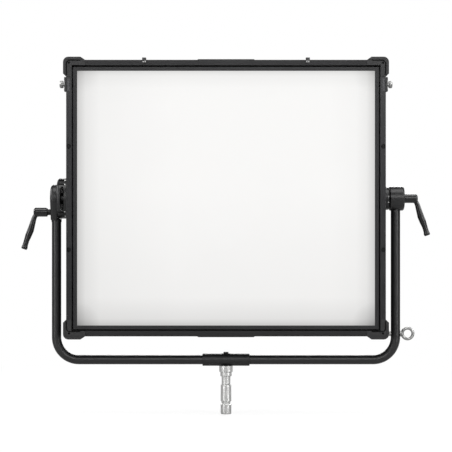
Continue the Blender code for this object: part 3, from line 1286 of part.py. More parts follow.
def add_stand_pin():
    """The turned pin, saddled to the sleeve and drilled for the bolt."""
    collar_top = YOKE_BASE_HEIGHT - SLEEVE_RADIUS + MM
    hole = BOLT_RADIUS + GAP
    ramp = 1.5 * MM
    profile = [
        (0, BOLT_TIP_HEIGHT), (hole, BOLT_TIP_HEIGHT), (hole, collar_top), (PIN_COLLAR_RADIUS, collar_top),
        (PIN_COLLAR_RADIUS, PIN_STEP_TOP + ramp), (PIN_COLLAR_RADIUS - ramp, PIN_STEP_TOP),
        (PIN_STEP_RADIUS, PIN_STEP_TOP), (PIN_STEP_RADIUS, PIN_NECK_TOP + ramp),
        (PIN_STEP_RADIUS - ramp, PIN_NECK_TOP), (PIN_NECK_RADIUS, PIN_NECK_TOP),
        (PIN_NECK_RADIUS, PIN_BARREL_TOP + ramp), (PIN_RADIUS - ramp, PIN_BARREL_TOP + ramp),
        (PIN_RADIUS, PIN_BARREL_TOP), (PIN_RADIUS, PIN_GROOVE_TOP + 2 * ramp),
        (PIN_GROOVE_RADIUS, PIN_GROOVE_TOP), (PIN_GROOVE_RADIUS, PIN_END_TOP + MM),
        (PIN_RADIUS, PIN_END_TOP), (PIN_RADIUS, PIN_CHAMFER), (PIN_RADIUS - PIN_CHAMFER, 0), (0, 0),
    ]
    pin = turned("stand_pin", profile, BRIGHT_STEEL, (0, 0, 0), steps=24)
    saddle = cylinder("pin_saddle", SLEEVE_RADIUS + GAP, -2 * PIN_COLLAR_RADIUS, 2 * PIN_COLLAR_RADIUS,
                      None, (0, 0, YOKE_BASE_HEIGHT), outward(1), steps=32)
    return cut(pin, saddle)


def add_eye_bolt():
    """Forged eye screwed through the right leg, with its nut on the inner side."""
    place = (LEG_X, 0, EYE_HEIGHT)
    inner = TUBE_RADIUS + GAP
    nut_end = inner + EYE_NUT_THICKNESS
    end = EYE_STANDOFF - EYE_MAJOR + EYE_MINOR / 2
    profile = [
        (0, end), (EYE_SHANK_RADIUS, end), (EYE_SHANK_RADIUS, inner + EYE_COLLAR),
        (EYE_COLLAR_RADIUS - MM, inner + EYE_COLLAR), (EYE_COLLAR_RADIUS, inner + EYE_COLLAR - MM),
        (EYE_COLLAR_RADIUS, inner), (EYE_SHANK_RADIUS, inner), (EYE_SHANK_RADIUS, -nut_end + GAP),
        (0, -nut_end + GAP),
    ]
    shank = turned("eye_bolt", profile, BRIGHT_STEEL, place, outward(1), steps=16)
    bpy.ops.mesh.primitive_torus_add(major_radius=EYE_MAJOR, minor_radius=EYE_MINOR, major_segments=22,
                                     minor_segments=8, rotation=(QUARTER, 0, 0),
                                     location=(LEG_X + EYE_STANDOFF, 0, EYE_HEIGHT))
    ring = bpy.context.active_object
    ring.name = "eye_ring"
    for holder in list(ring.users_collection):
        holder.objects.unlink(ring)
    CUTTERS.objects.link(ring)
    ring.hide_render = True
    ring.display_type = "WIRE"
    unite(shank, ring)
    hole = cylinder("eye_hole", EYE_SHANK_RADIUS + GAP, -2 * TUBE_RADIUS, 2 * TUBE_RADIUS, None, place,
                    outward(1), steps=12)
    cut(YOKE_TUBE, hole)
    middle = LEG_X - inner - EYE_NUT_THICKNESS / 2
    outlined("eye_bolt_nut", [hexagon(EYE_NUT_ACROSS), circle(EYE_SHANK_RADIUS + GAP, count=12)],
             EYE_NUT_THICKNESS, BRIGHT_STEEL, (middle, 0, EYE_HEIGHT), FACING_X)


YOKE_TUBE = add_yoke_tube()
add_base()
add_stand_pin()
add_eye_bolt()


# ---------------------------------------------------------------- clamping levers

def star(radius, depth, teeth):
    """Outline of a serration: crest and root points in turn."""
    points = []
    for i in range(teeth * 2):
        reach = radius - depth * (i % 2)
        angle = math.tau * (i + 0.5) / (teeth * 2)
        points.append((reach * math.cos(angle), reach * math.sin(angle)))
    return points


def add_lever(word, side, start, shaft_start, collar_start, height):
    """Ratchet clamping lever: the stud's spline sits in the handle's toothed bore at rest."""
    turn_axis = axis_empty(f"lever_axis_{word}", (side * HALF_WIDTH, 0, height))
    tooth_end = start + SPLINE_LENGTH
    floor_end = tooth_end + HUB_FLOOR
    head_start = floor_end + LEVER_LIFT + GAP
    head_end = head_start + RETAINER_LENGTH
    profile = [
        (0, head_end - 2 * MM), (3 * MM, head_end - 2 * MM), (3 * MM, head_end),
        (RETAINER_RADIUS - 0.5 * MM, head_end), (RETAINER_RADIUS, head_end - 0.5 * MM),
        (RETAINER_RADIUS, head_start), (RETAINER_NECK, head_start), (RETAINER_NECK, tooth_end - MM),
        (STUD_RADIUS, tooth_end - MM),
    ]
    if collar_start:
        profile += [(STUD_RADIUS, start), (COLLAR_RADIUS, start - GAP), (COLLAR_RADIUS, collar_start),
                    (STUD_RADIUS, collar_start)]
    profile += [(STUD_RADIUS, shaft_start + MM), (STUD_RADIUS - MM, shaft_start), (0, shaft_start)]
    stud = turned(f"lever_stud_{word}", profile, BRIGHT_STEEL, (0, 0, 0), outward(side), turn_axis, 16)
    spline_middle = start + (SPLINE_LENGTH - MM) / 2
    spline = meshed(outlined(f"lever_spline_{word}", [star(SPLINE_RADIUS, SPLINE_DEPTH, SPLINE_TEETH)],
                             SPLINE_LENGTH - 2 * MM, None, (side * spline_middle, 0, 0), outward(side),
                             turn_axis))
    unite(stud, spline)

    hub_end = start + HUB_LENGTH
    hub = turned(f"lever_handle_{word}", [
        (0, hub_end), (HUB_RADIUS - HUB_CHAMFER, hub_end), (HUB_RADIUS, hub_end - HUB_CHAMFER),
        (HUB_RADIUS, start + MM), (HUB_RADIUS - MM, start), (0, start),
    ], BLACK_PAINT, (0, 0, 0), outward(side), turn_axis, 24)
    unite(hub, lever_arm(word, side, start, turn_axis))
    teeth = meshed(outlined(f"lever_teeth_{word}",
                            [star(SPLINE_RADIUS + GAP, SPLINE_DEPTH, SPLINE_TEETH)],
                            2 * SPLINE_LENGTH, None, (side * start, 0, 0), outward(side), turn_axis))
    neck = cylinder(f"lever_neck_{word}", RETAINER_NECK + GAP, start, hub_end, None, (0, 0, 0),
                    outward(side), turn_axis, 16)
    cavity = cylinder(f"lever_cavity_{word}", RETAINER_RADIUS + GAP, floor_end, hub_end + 2 * MM, None,
                      (0, 0, 0), outward(side), turn_axis, 16)
    return cut(hub, teeth, neck, cavity)


def lever_arm(word, side, start, turn_axis):
    """The cast arm: oval in section, leaning away from the yoke, with a flared tip."""
    points = [(side * (start + along), 0, -drop) for along, drop, _ in ARM_ROUTE]
    arm = meshed(rod_curve(f"lever_arm_{word}", points, ARM_RADIUS, None, parent=turn_axis, resolution=2,
                           radii=[factor for _, _, factor in ARM_ROUTE]))
    for vert in arm.data.vertices:
        vert.co.y *= ARM_FLATNESS
    return arm


add_lever("left", -1, LEFT_HUB_START, DRUM_LENGTH - DRUM_DISC - GAP - NUT_THICKNESS - 2 * MM,
          PLATE_END + GAP, PIVOT_HEIGHT - CLAMP_DROP)
add_lever("right", 1, RIGHT_HUB_START, CASTING_START + 8 * MM, 0, PIVOT_HEIGHT)

for part in PARTS.objects:
    if part.type == "MESH":
        smooth(part)
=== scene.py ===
"""LED panel light in its yoke: the dressed pieces, their finishes and a small studio.

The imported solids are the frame. Places are in metres; profiles, outlines and screws are drawn
in millimetres. +Z is up and the lit face looks along -Y.
"""

import json
import math

import bmesh
import bpy
from mathutils import Matrix, Vector


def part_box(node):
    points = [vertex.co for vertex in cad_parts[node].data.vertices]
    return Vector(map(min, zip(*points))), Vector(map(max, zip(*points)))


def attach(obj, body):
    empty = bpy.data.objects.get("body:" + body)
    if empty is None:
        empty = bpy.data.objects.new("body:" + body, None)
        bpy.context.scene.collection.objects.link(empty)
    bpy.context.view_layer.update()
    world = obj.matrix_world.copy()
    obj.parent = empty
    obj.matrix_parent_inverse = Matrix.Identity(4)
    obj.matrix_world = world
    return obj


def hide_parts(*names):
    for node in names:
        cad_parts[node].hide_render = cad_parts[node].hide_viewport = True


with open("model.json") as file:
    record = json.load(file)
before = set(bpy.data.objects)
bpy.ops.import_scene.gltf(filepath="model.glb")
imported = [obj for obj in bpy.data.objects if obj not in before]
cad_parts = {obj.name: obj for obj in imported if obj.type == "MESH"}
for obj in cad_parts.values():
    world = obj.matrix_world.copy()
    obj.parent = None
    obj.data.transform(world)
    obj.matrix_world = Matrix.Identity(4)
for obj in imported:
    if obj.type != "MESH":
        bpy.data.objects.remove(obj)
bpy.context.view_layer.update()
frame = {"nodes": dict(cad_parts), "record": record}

bl_info = {
    "name": "LED panel light",
    "version": (1, 0, 0),
    "blender": (4, 5, 0),
    "location": "View3D > Sidebar > Panel light",
    "description": "Dresses the packed panel light and sets up a small studio for it",
    "category": "Object",
}

MM = 0.001
WELD = 0.01 * MM


def span(node):
    """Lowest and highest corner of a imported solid, as vectors."""
    low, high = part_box(node)
    return Vector(low), Vector(high)


def middle_of(node):
    low, high = span(node)
    return (low + high) / 2


def joint_place(name):
    joint = next(entry for entry in frame["record"]["behaviour"]["joints"] if entry["name"] == name)
    return Vector(joint["pos_m"])


TILT = joint_place("head_tilt")
LEFT_FACE = span("left_rail")[0].x
RIGHT_FACE = span("right_rail")[1].x
FRONT_FACE, REAR_FACE = span("left_rail")[0].y, span("left_rail")[1].y
TOP_FACE, BOTTOM_FACE = span("top_rail")[1].z, span("bottom_rail")[0].z
PANEL_FACE = span("display_window")[1].y
TO_LEFT = Matrix.Rotation(-math.pi / 2, 4, "Y")
TO_RIGHT = Matrix.Rotation(math.pi / 2, 4, "Y")
TO_BACK = Matrix.Rotation(-math.pi / 2, 4, "X")
TO_FRONT = Matrix.Rotation(math.pi / 2, 4, "X")
UPWARD = Matrix.Identity(4)
DOWNWARD = Matrix.Rotation(math.pi, 4, "X")


# ---------------------------------------------------------------- mesh helpers

def at(place, turn=UPWARD):
    return Matrix.Translation(place) @ turn


def polar(radius, degrees, centre=(0, 0)):
    angle = math.radians(degrees)
    return centre[0] + radius * math.cos(angle), centre[1] + radius * math.sin(angle)


def arc(centre, radius, start, end, steps):
    """Points of an arc in a plane, with its angles in degrees."""
    return [polar(radius, start + (end - start) * step / steps, centre) for step in range(steps + 1)]


def rounded_rectangle(half_x, half_y, corner, steps=11):
    points = []
    for turn, (sx, sy) in enumerate(((1, 1), (-1, 1), (-1, -1), (1, -1))):
        points += arc((sx * (half_x - corner), sy * (half_y - corner)), corner, turn * 90,
                      turn * 90 + 90, steps)
    return points


def mesh_of(bm, name):
    """Hand a bmesh over to a new mesh."""
    mesh = bpy.data.meshes.new(name)
    bm.to_mesh(mesh)
    bm.free()
    return mesh


def place_object(name, data):
    item = bpy.data.objects.new(name, data)
    bpy.context.scene.collection.objects.link(item)
    return item


def absorb(bm, part, place=UPWARD):
    """Close a finished shape, put it in place and add it to the piece."""
    bmesh.ops.recalc_face_normals(part, faces=part.faces)
    bmesh.ops.transform(part, matrix=place, verts=part.verts)
    mesh = mesh_of(part, "part")
    bm.from_mesh(mesh)
    bpy.data.meshes.remove(mesh)


def turned_shape(profile, steps):
    """A closed shape from (radius, height) points turned round local Z."""
    part = bmesh.new()
    points = [part.verts.new((radius * MM, 0, height * MM)) for radius, height in profile]
    edges = [part.edges.new(pair) for pair in zip(points, points[1:])]
    if profile[0][0] > 0 and profile[-1][0] > 0 and profile[0] != profile[-1]:
        edges.append(part.edges.new((points[-1], points[0])))
    bmesh.ops.spin(part, geom=points + edges, cent=(0, 0, 0), axis=(0, 0, 1), dvec=(0, 0, 0),
                   angle=math.tau, steps=steps, use_merge=True, use_normal_flip=False,
                   use_duplicate=False)
    bmesh.ops.remove_doubles(part, verts=part.verts, dist=WELD / 2)
    return part


def turned(bm, profile, place, steps=64):
    absorb(bm, turned_shape(profile, steps), place)


def turning(profile, place, steps=64):
    """A turned shape by itself, as a piece or as a cutter."""
    bm = bmesh.new()
    turned(bm, profile, place, steps)
    return bm


def round_edges(bm, edges, width, segments):
    bmesh.ops.bevel(bm, geom=edges, offset=width, offset_type="OFFSET", affect="EDGES",
                    segments=segments, profile=0.5, material=-1, clamp_overlap=True)


def raise_faces(part, thickness):
    """Give flat faces a thickness along local Z."""
    grown = bmesh.ops.extrude_face_region(part, geom=list(part.faces), use_keep_orig=True)["geom"]
    bmesh.ops.translate(part, vec=(0, 0, thickness * MM),
                        verts=[entry for entry in grown if isinstance(entry, bmesh.types.BMVert)])


def raised_outline(bm, outline, thickness, place, edge=0.0, segments=2, spared=-1000):
    """Outline in local XY raised along local Z, its upper rim rounded down to local X spared."""
    part = bmesh.new()
    part.faces.new([part.verts.new((x * MM, y * MM, 0)) for x, y in outline])
    raise_faces(part, thickness)
    if edge:
        rim = [side for side in part.edges if all(vert.co.z > thickness * MM / 2 for vert in side.verts)
               and any(vert.co.x > spared * MM for vert in side.verts)]
        round_edges(part, rim, edge * MM, segments)
    absorb(bm, part, place)


def raised_ring(bm, outer, inner, thickness, place):
    """The flat ring between two outlines of as many points, raised along local Z."""
    part = bmesh.new()
    edges = []
    for outline in (outer, inner):
        ring = [part.verts.new((x * MM, y * MM, 0)) for x, y in outline]
        edges += [part.edges.new((ring[index - 1], ring[index])) for index in range(len(ring))]
    bmesh.ops.bridge_loops(part, edges=edges)
    raise_faces(part, thickness)
    absorb(bm, part, place)


def box_between(bm, low, high, edge, segments=2):
    low, high = Vector(low), Vector(high)
    part = bmesh.new()
    bmesh.ops.create_cube(part, size=1)
    bmesh.ops.scale(part, vec=high - low, verts=part.verts)
    round_edges(part, list(part.edges), edge, segments)
    absorb(bm, part, Matrix.Translation((low + high) / 2))


def swept_rod(bm, stations, side, place=UPWARD, sides=32):
    """A capped rod through stations of (centre, half width, half depth), its depth along side."""
    part = bmesh.new()
    side = Vector(side)
    centres = [Vector(station[0]) for station in stations]
    rings = []
    for index, (centre, half_width, half_depth) in enumerate(stations):
        along = centres[min(index + 1, len(centres) - 1)] - centres[max(index - 1, 0)]
        across = along.cross(side).normalized()
        verts = bmesh.ops.create_circle(part, cap_ends=False, radius=1, segments=sides)["verts"]
        turn = Matrix((across * half_width, side * half_depth, across.cross(side))).transposed()
        bmesh.ops.transform(part, matrix=Matrix.Translation(centre) @ turn.to_4x4(), verts=verts)
        rings.append(list({edge for vert in verts for edge in vert.link_edges}))
    for first, second in zip(rings, rings[1:]):
        bmesh.ops.bridge_loops(part, edges=first + second)
    for end in (rings[0], rings[-1]):
        bmesh.ops.contextual_create(part, geom=end)
    absorb(bm, part, place)


def socket_screw(bm, place, radius, height, steps=24):
    """A cap screw's head with a hexagonal recess; local Z points out of it."""
    recess = radius * 0.5
    profile = [(0, height * 0.4), (recess, height * 0.4), (recess, height),
               (radius - height * 0.22, height), (radius, height * 0.78), (radius, 0), (0, 0)]
    part = turned_shape(profile, steps)
    for vert in part.verts:
        if abs(vert.co.xy.length - recess * MM) < WELD:
            angle = math.atan2(vert.co.y, vert.co.x) % (math.pi / 3) - math.pi / 6
            vert.co.xy *= math.cos(math.pi / 6) / math.cos(angle)
    absorb(bm, part, place)


def eased_copy(node, width, segments=1, angle=35, whole=True):
    """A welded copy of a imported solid, its flat faces made whole and its sharp edges eased."""
    bm = bmesh.new()
    bm.from_mesh(frame["nodes"][node].data)
    bmesh.ops.remove_doubles(bm, verts=bm.verts, dist=WELD)
    if whole:
        bmesh.ops.dissolve_limit(bm, angle_limit=math.radians(0.5), verts=bm.verts, edges=bm.edges)
    sharp = [edge for edge in bm.edges
             if edge.is_manifold and edge.calc_face_angle() > math.radians(angle)]
    round_edges(bm, sharp, width, segments)
    return bm


def shaped(holders):
    """The first object as its modifiers leave it; all of them are then cleared away."""
    bpy.context.view_layer.update()
    bm = bmesh.new()
    bm.from_mesh(holders[0].evaluated_get(bpy.context.evaluated_depsgraph_get()).to_mesh())
    for holder in holders:
        source = holder.data
        bpy.data.objects.remove(holder)
        bpy.data.meshes.remove(source)
    return bm


def cast(bm, grain, passes):
    """The same closed shapes joined into one with the soft corners and fillets of a casting."""
    holder = place_object("rough_casting", mesh_of(bm, "rough_casting"))
    skin = holder.modifiers.new("skin", "REMESH")
    skin.mode = "VOXEL"
    skin.voxel_size = grain
    blend = holder.modifiers.new("fillets", "SMOOTH")
    blend.factor = 0.5
    blend.iterations = passes
    return shaped([holder])


def cut_with(bm, *cutters):
    """Take closed cutters out of a piece, all of them bmeshes."""
    made = [place_object(f"cut_{number}", mesh_of(shape, f"cut_{number}"))
            for number, shape in enumerate((bm, *cutters))]
    for tool in made[1:]:
        taken = made[0].modifiers.new(tool.name, "BOOLEAN")
        taken.operation = "DIFFERENCE"
        taken.solver = "EXACT"
        taken.object = tool
    return shaped(made)


def piece(bm, name, colour, nodes=(), body="head", angle=32):
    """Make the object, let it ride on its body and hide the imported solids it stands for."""
    if not bm.faces:
        raise RuntimeError(f"{name} has no faces")
    item = place_object(name, mesh_of(bm, name))
    item.data.materials.append(finish(colour))
    item.data.shade_smooth()
    item.data.set_sharp_from_angle(angle=math.radians(angle))
    flats = item.modifiers.new("even_shading", "WEIGHTED_NORMAL")
    flats.keep_sharp = True
    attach(item, body)
    if nodes:
        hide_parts(*nodes)


def ease(node, width, colour, slot, name=None, body="head", **how):
    """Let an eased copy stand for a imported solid."""
    piece(eased_copy(node, width, **how), name or f"{node}_eased", colour, [node], body)


def screws(name, places, radius, height, colour="black_screw", steps=24):
    """One piece of like screw heads."""
    bm = bmesh.new()
    for place in places:
        socket_screw(bm, place, radius, height, steps)
    piece(bm, name, colour)


# ---------------------------------------------------------------- finishes

class Shading:
    """A node tree under construction."""

    def __init__(self, owner):
        owner.use_nodes = True
        self.tree = owner.node_tree

    def feed(self, socket, value):
        """Give an input a plain value, or link another node's output to it."""
        if isinstance(value, bpy.types.NodeSocket):
            self.tree.links.new(value, socket)
        else:
            socket.default_value = value

    def node(self, kind, inputs, **settings):
        made = self.tree.nodes.new(kind)
        for key, value in settings.items():
            setattr(made, key, value)
        for key, value in inputs.items():
            self.feed(made.inputs[key], value)
        return made

    def ranged(self, value, low, high, start=0.3, end=0.7, **settings):
        inputs = {"Value": value, "From Min": start, "From Max": end, "To Min": low, "To Max": high}
        return self.node("ShaderNodeMapRange", inputs, **settings).outputs["Result"]

    def maths(self, operation, first, second=0.0):
        return self.node("ShaderNodeMath", {0: first, 1: second}, operation=operation).outputs["Value"]

    def place(self):
        return self.node("ShaderNodeTexCoord", {}).outputs["Object"]


class Finish(Shading):
    """A Principled material under construction, with short ways to add its layers."""

    def __init__(self, name, colour, roughness, metallic=0.0):
        self.material = bpy.data.materials.new(name)
        super().__init__(self.material)
        self.shader = self.tree.nodes["Principled BSDF"]
        self.colour, self.roughness = (*colour, 1.0), roughness
        self.give("Roughness", roughness)
        self.give("Metallic", metallic)
        self.coordinates = self.place()

    def give(self, key, value):
        self.feed(self.shader.inputs[key], value)

    def axis(self, name):
        return self.node("ShaderNodeSeparateXYZ", {"Vector": self.coordinates}).outputs[name]

    def stretched(self, scale):
        inputs = {"Scale": scale, "Vector": self.coordinates}
        return self.node("ShaderNodeMapping", inputs).outputs["Vector"]

    def noise(self, scale, detail, stretch=(1, 1, 1)):
        inputs = {"Scale": scale, "Detail": detail, "Vector": self.stretched(stretch)}
        return self.node("ShaderNodeTexNoise", inputs).outputs["Fac"]

    def mixed(self, fac, first, second):
        inputs = {"Factor": fac, "A": first, "B": second}
        return self.node("ShaderNodeMix", inputs, data_type="RGBA").outputs["Result"]

    def tint(self, fac, other):
        """Mix another colour over the colour so far."""
        self.colour = self.mixed(fac, self.colour, (*other, 1.0))
        self.give("Base Color", self.colour)

    def mottle(self, pattern, most, other, start=0.3, end=0.7):
        """Mix another colour in where a pattern is high."""
        self.tint(self.ranged(pattern, 0.0, most, start, end), other)

    def glow(self, level, dark, bright, strength):
        """Light given off, from a dark to a bright colour."""
        self.give("Emission Color", self.mixed(level, (*dark, 1.0), (*bright, 1.0)))
        self.give("Emission Strength", strength)

    def wander(self, pattern, spread):
        """Let roughness vary either side of its mean with a pattern."""
        low, high = self.roughness - spread, self.roughness + spread
        self.give("Roughness", self.ranged(pattern, low, high))

    def done(self, grain, depth, strength):
        """Raise a grain as relief and hand over the material."""
        inputs = {"Distance": depth, "Strength": strength, "Height": grain}
        self.give("Normal", self.node("ShaderNodeBump", inputs).outputs["Normal"])
        return self.material


def lighter(colour, factor):
    return tuple(min(1.0, channel * factor) for channel in colour)


def anodised(name, colour, along, roughness=0.42):
    """Satin anodised extrusion with faint die lines along its length."""
    made = Finish(name, colour, roughness, 0.35)
    lines = made.noise(1500, 2, [0.01 if axis == along else 1.0 for axis in "XYZ"])
    clouds = made.noise(14, 4)
    made.mottle(clouds, 0.5, lighter(colour, 1.5))
    made.mottle(lines, 0.35, lighter(colour, 0.6))
    made.wander(clouds, 0.05)
    return made.done(lines, 0.00004, 0.5)


def powder_coat(name, colour, roughness=0.38, grain=0.00009):
    """Fine-textured satin powder coat over steel and castings."""
    made = Finish(name, colour, roughness)
    pebbles = made.noise(1700, 2)
    made.mottle(made.noise(22, 4), 0.55, lighter(colour, 1.45))
    made.mottle(pebbles, 0.3, lighter(colour, 0.55))
    made.wander(pebbles, 0.09)
    return made.done(pebbles, grain, 0.55)


def moulded(name, colour, roughness=0.52):
    """Moulded plastic with a spark-eroded grain."""
    made = Finish(name, colour, roughness)
    grain = made.noise(2600, 3)
    made.mottle(made.noise(30, 3), 0.5, lighter(colour, 1.35))
    made.wander(grain, 0.08)
    return made.done(grain, 0.00005, 0.5)


def turned_steel(name, colour, axis="Z"):
    """Bright turned steel with fine tool rings across its axis and a few handling marks."""
    made = Finish(name, colour, 0.36, 1.0)
    rings = made.noise(2200, 2, [1.0 if letter == axis else 0.02 for letter in "XYZ"])
    smears = made.noise(60, 4)
    made.mottle(rings, 0.45, lighter(colour, 0.78))
    made.mottle(smears, 0.25, lighter(colour, 0.7), 0.5, 0.75)
    made.wander(smears, 0.09)
    return made.done(rings, 0.000008, 0.45)


def opal_panel(name, colour, strength):
    """Opal sheet lit from behind: even in the middle, with painted shade that darkens it towards the frame
    and further in its corners.
    """
    made = Finish(name, (0.02, 0.02, 0.02), 0.5)
    made.give("Base Color", made.colour)
    low, high = span("diffuser_frame")
    half_x, half_z = (high.x - low.x) / 2 - 10 * MM, (high.z - low.z) / 2 - 10 * MM
    x, z = made.axis("X"), made.maths("SUBTRACT", made.axis("Z"), TILT.z)
    top, foot = made.maths("SUBTRACT", half_z, z), made.maths("ADD", z, half_z)
    level = made.ranged(made.noise(7, 2), 0.994, 1.006)

    def painted_shade_step(level, distance, start, end, drop):
        """Painted shade: take light away over the stretch from start to end, in millimetres."""
        step = made.ranged(distance, 1.0 - drop, 1.0, start * MM, end * MM)
        return made.maths("MULTIPLY", level, step)

    # painted shade along each edge, deepest at the left and along the foot
    for distance, steps in (
            (made.maths("ADD", x, half_x), ((0, 22, 0.21), (0, 60, 0.14), (20, 260, 0.06))),
            (made.maths("SUBTRACT", half_x, x), ((0, 22, 0.20), (0, 50, 0.12), (20, 120, 0.04))),
            (top, ((0, 14, 0.12), (0, 45, 0.09), (20, 90, 0.02))),
            (foot, ((0, 18, 0.20), (0, 75, 0.16), (20, 360, 0.08)))):
        for start, end, drop in steps:
            level = painted_shade_step(level, distance, start, end, drop)
    # painted shade in the corners at the top and at the foot
    aside = made.maths("SUBTRACT", half_x, made.maths("ABSOLUTE", x))
    for rise, drop in ((top, 0.15), (foot, 0.32)):
        squares = made.maths("ADD", made.maths("POWER", aside, 2), made.maths("POWER", rise, 2))
        level = painted_shade_step(level, made.maths("SQRT", squares), 0, 62, drop)
    made.glow(level, (0, 0, 0), colour, strength)
    return made.done(made.noise(2400, 2), 0.00003, 0.3)


def emitter_board(name, front):
    """White solder mask, with phosphor on what stands proud of the board."""
    made = Finish(name, (0.8, 0.81, 0.78), 0.45)
    mottling = made.noise(120, 3)
    made.mottle(mottling, 0.3, (0.7, 0.72, 0.68))
    made.tint(made.maths("LESS_THAN", made.axis("Y"), front), (0.9, 0.62, 0.08))
    made.wander(mottling, 0.08)
    return made.done(made.noise(900, 2), 0.00003, 0.4)


def circuit_board(name, face):
    """Green solder mask with faint tracks, and black packages above it."""
    made = Finish(name, (0.02, 0.14, 0.05), 0.35)
    tracks = made.node("ShaderNodeTexBrick", {"Scale": 90, "Vector": made.stretched((1, 0, 1))})
    made.mottle(tracks.outputs["Fac"], 0.7, (0.05, 0.3, 0.1), 0.0, 1.0)
    made.tint(made.maths("GREATER_THAN", made.axis("Y"), face), (0.012, 0.012, 0.014))
    made.wander(made.noise(300, 2), 0.1)
    return made.done(made.noise(700, 2), 0.00003, 0.4)


def sheet_case(name):
    """Galvanised sheet with its crystal pattern."""
    made = Finish(name, (0.5, 0.52, 0.54), 0.42, 0.9)
    spangle = made.node("ShaderNodeTexVoronoi", {"Scale": 110, "Vector": made.coordinates})
    fleck = made.maths("FRACT", made.maths("MULTIPLY", spangle.outputs["Color"], 3.0))
    made.mottle(fleck, 0.6, (0.33, 0.35, 0.37), 0.0, 1.0)
    made.wander(fleck, 0.1)
    return made.done(made.noise(800, 2), 0.00003, 0.4)


def white_paint(name, back):
    """Matt white reflector paint, slightly yellowed in patches, and black behind."""
    made = Finish(name, (0.86, 0.86, 0.84), 0.6)
    patches = made.noise(9, 4)
    made.mottle(patches, 0.4, (0.8, 0.79, 0.74))
    made.tint(made.maths("GREATER_THAN", made.axis("Y"), back), (0.012, 0.012, 0.0125))
    made.wander(patches, 0.08)
    return made.done(made.noise(1400, 2), 0.00005, 0.5)


def sintered_bronze(name):
    """Porous bearing bronze."""
    made = Finish(name, (0.42, 0.26, 0.1), 0.42, 1.0)
    pores = made.noise(3200, 2)
    made.mottle(pores, 0.8, (0.12, 0.08, 0.04), 0.25, 0.42)
    made.mottle(made.noise(120, 3), 0.4, (0.5, 0.34, 0.16))
    made.wander(pores, 0.12)
    return made.done(pores, 0.00003, 0.6)


def contact_metal(name):
    """Gold-flashed contacts, a little worn."""
    made = Finish(name, (0.83, 0.6, 0.25), 0.25, 1.0)
    worn = made.noise(900, 3)
    made.mottle(worn, 0.5, (0.6, 0.55, 0.45), 0.45, 0.8)
    made.wander(worn, 0.08)
    return made.done(worn, 0.00001, 0.4)


def screen_glass(name, low, high):
    """Dark display glass, with plain level bars lit behind it."""
    made = Finish(name, (0.006, 0.007, 0.009), 0.09)
    made.give("Base Color", made.colour)
    made.give("Coat Weight", 0.4)
    across = made.maths("DIVIDE", made.maths("SUBTRACT", high.x, made.axis("X")), high.x - low.x)
    up = made.maths("DIVIDE", made.maths("SUBTRACT", made.axis("Z"), low.z), high.z - low.z)

    def between(value, start, end):
        return made.maths("MULTIPLY", made.maths("GREATER_THAN", value, start),
                          made.maths("LESS_THAN", value, end))

    lit = 0.0
    for start, end, bottom, top in ((0.1, 0.62, 0.62, 0.74), (0.1, 0.5, 0.4, 0.52),
                                    (0.1, 0.8, 0.18, 0.3), (0.08, 0.92, 0.84, 0.86)):
        bar = made.maths("MULTIPLY", between(across, start, end), between(up, bottom, top))
        lit = made.maths("MAXIMUM", lit, bar)
    cells = made.maths("GREATER_THAN", made.maths("FRACT", made.maths("MULTIPLY", across, 34)), 0.18)
    made.glow(made.maths("MULTIPLY", lit, cells), (0.004, 0.008, 0.014), (0.25, 0.6, 0.85), 1.0)
    made.wander(made.noise(40, 3), 0.03)
    return made.material


def shadow_gap(name):
    """Painted shade at the bottom of the fine gap between guard and frame, which hardly any light reaches;
    it also stands for the shade round and in screw recesses.
    """
    made = Finish(name, (0.0012, 0.0012, 0.0013), 0.85)
    made.give("Specular IOR Level", 0.12)
    dust = made.noise(900, 3)
    made.mottle(dust, 0.5, (0.0022, 0.0022, 0.0022))
    made.wander(dust, 0.08)
    return made.done(dust, 0.00004, 0.4)


def recipes(chosen):
    """Maker of each finish, with what it takes beside the name."""
    return {
        # the upright rails and the heat sink are painted lighter and the level rails darker, as painted
        # sheen and shade for how their die lines catch the lamps
        "rail_upright": (anodised, lighter(chosen.rail_colour, 1.2), "Z", 0.32),
        "rail_level": (anodised, lighter(chosen.rail_colour, 0.6), "X", 0.5),
        "bezel_black": (anodised, lighter(chosen.rail_colour, 0.9), "Y", 0.47),
        "strip_grey": (anodised, lighter(chosen.rail_colour, 3.2), "Z"),
        "yoke_paint": (powder_coat, chosen.paint_colour),
        "lever_paint": (powder_coat, lighter(chosen.paint_colour, 0.5), 0.24, 0.00002),
        "sleeve_paint": (powder_coat, lighter(chosen.paint_colour, 0.5), 0.48, 0.00004),
        "cover_paint": (powder_coat, lighter(chosen.paint_colour, 1.15)),
        "moulded_black": (moulded, chosen.moulded_colour),
        "knob_black": (moulded, lighter(chosen.moulded_colour, 0.8), 0.42),
        # painted light: the stand pin's steel is made far lighter than the other steel to stand in for
        # light the side lamps no longer give it
        "pin_steel": (turned_steel, lighter(chosen.steel_colour, 1.95)),
        "stud_steel": (turned_steel, chosen.steel_colour, "X"),
        "black_screw": (turned_steel, lighter(chosen.steel_colour, 0.06), "X"),
        "gap_black": (shadow_gap,),
        "bronze": (sintered_bronze,),
        "opal": (opal_panel, chosen.glow_colour, chosen.glow_strength),
        "tray_white": (white_paint, span("mixing_tray")[1].y - 0.6 * MM),
        "emitters": (emitter_board, span("led_board_left")[1].y - 1.7 * MM),
        "driver": (circuit_board, span("driver_board")[0].y + 8.7 * MM),
        "supply_sheet": (sheet_case,),
        "contacts": (contact_metal,),
        "display": (screen_glass, *span("display_window")),
    }


def finish(name):
    """The material of that name, made when it is first asked for."""
    made = bpy.data.materials.get(name)
    if made is None:
        maker, *details = recipes(bpy.context.scene.light_finishes)[name]
        made = maker(name, *details)
    return made


def dress(node, colour):
    """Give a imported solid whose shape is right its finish."""
    mesh = frame["nodes"][node].data
    mesh.materials.clear()
    mesh.materials.append(finish(colour))


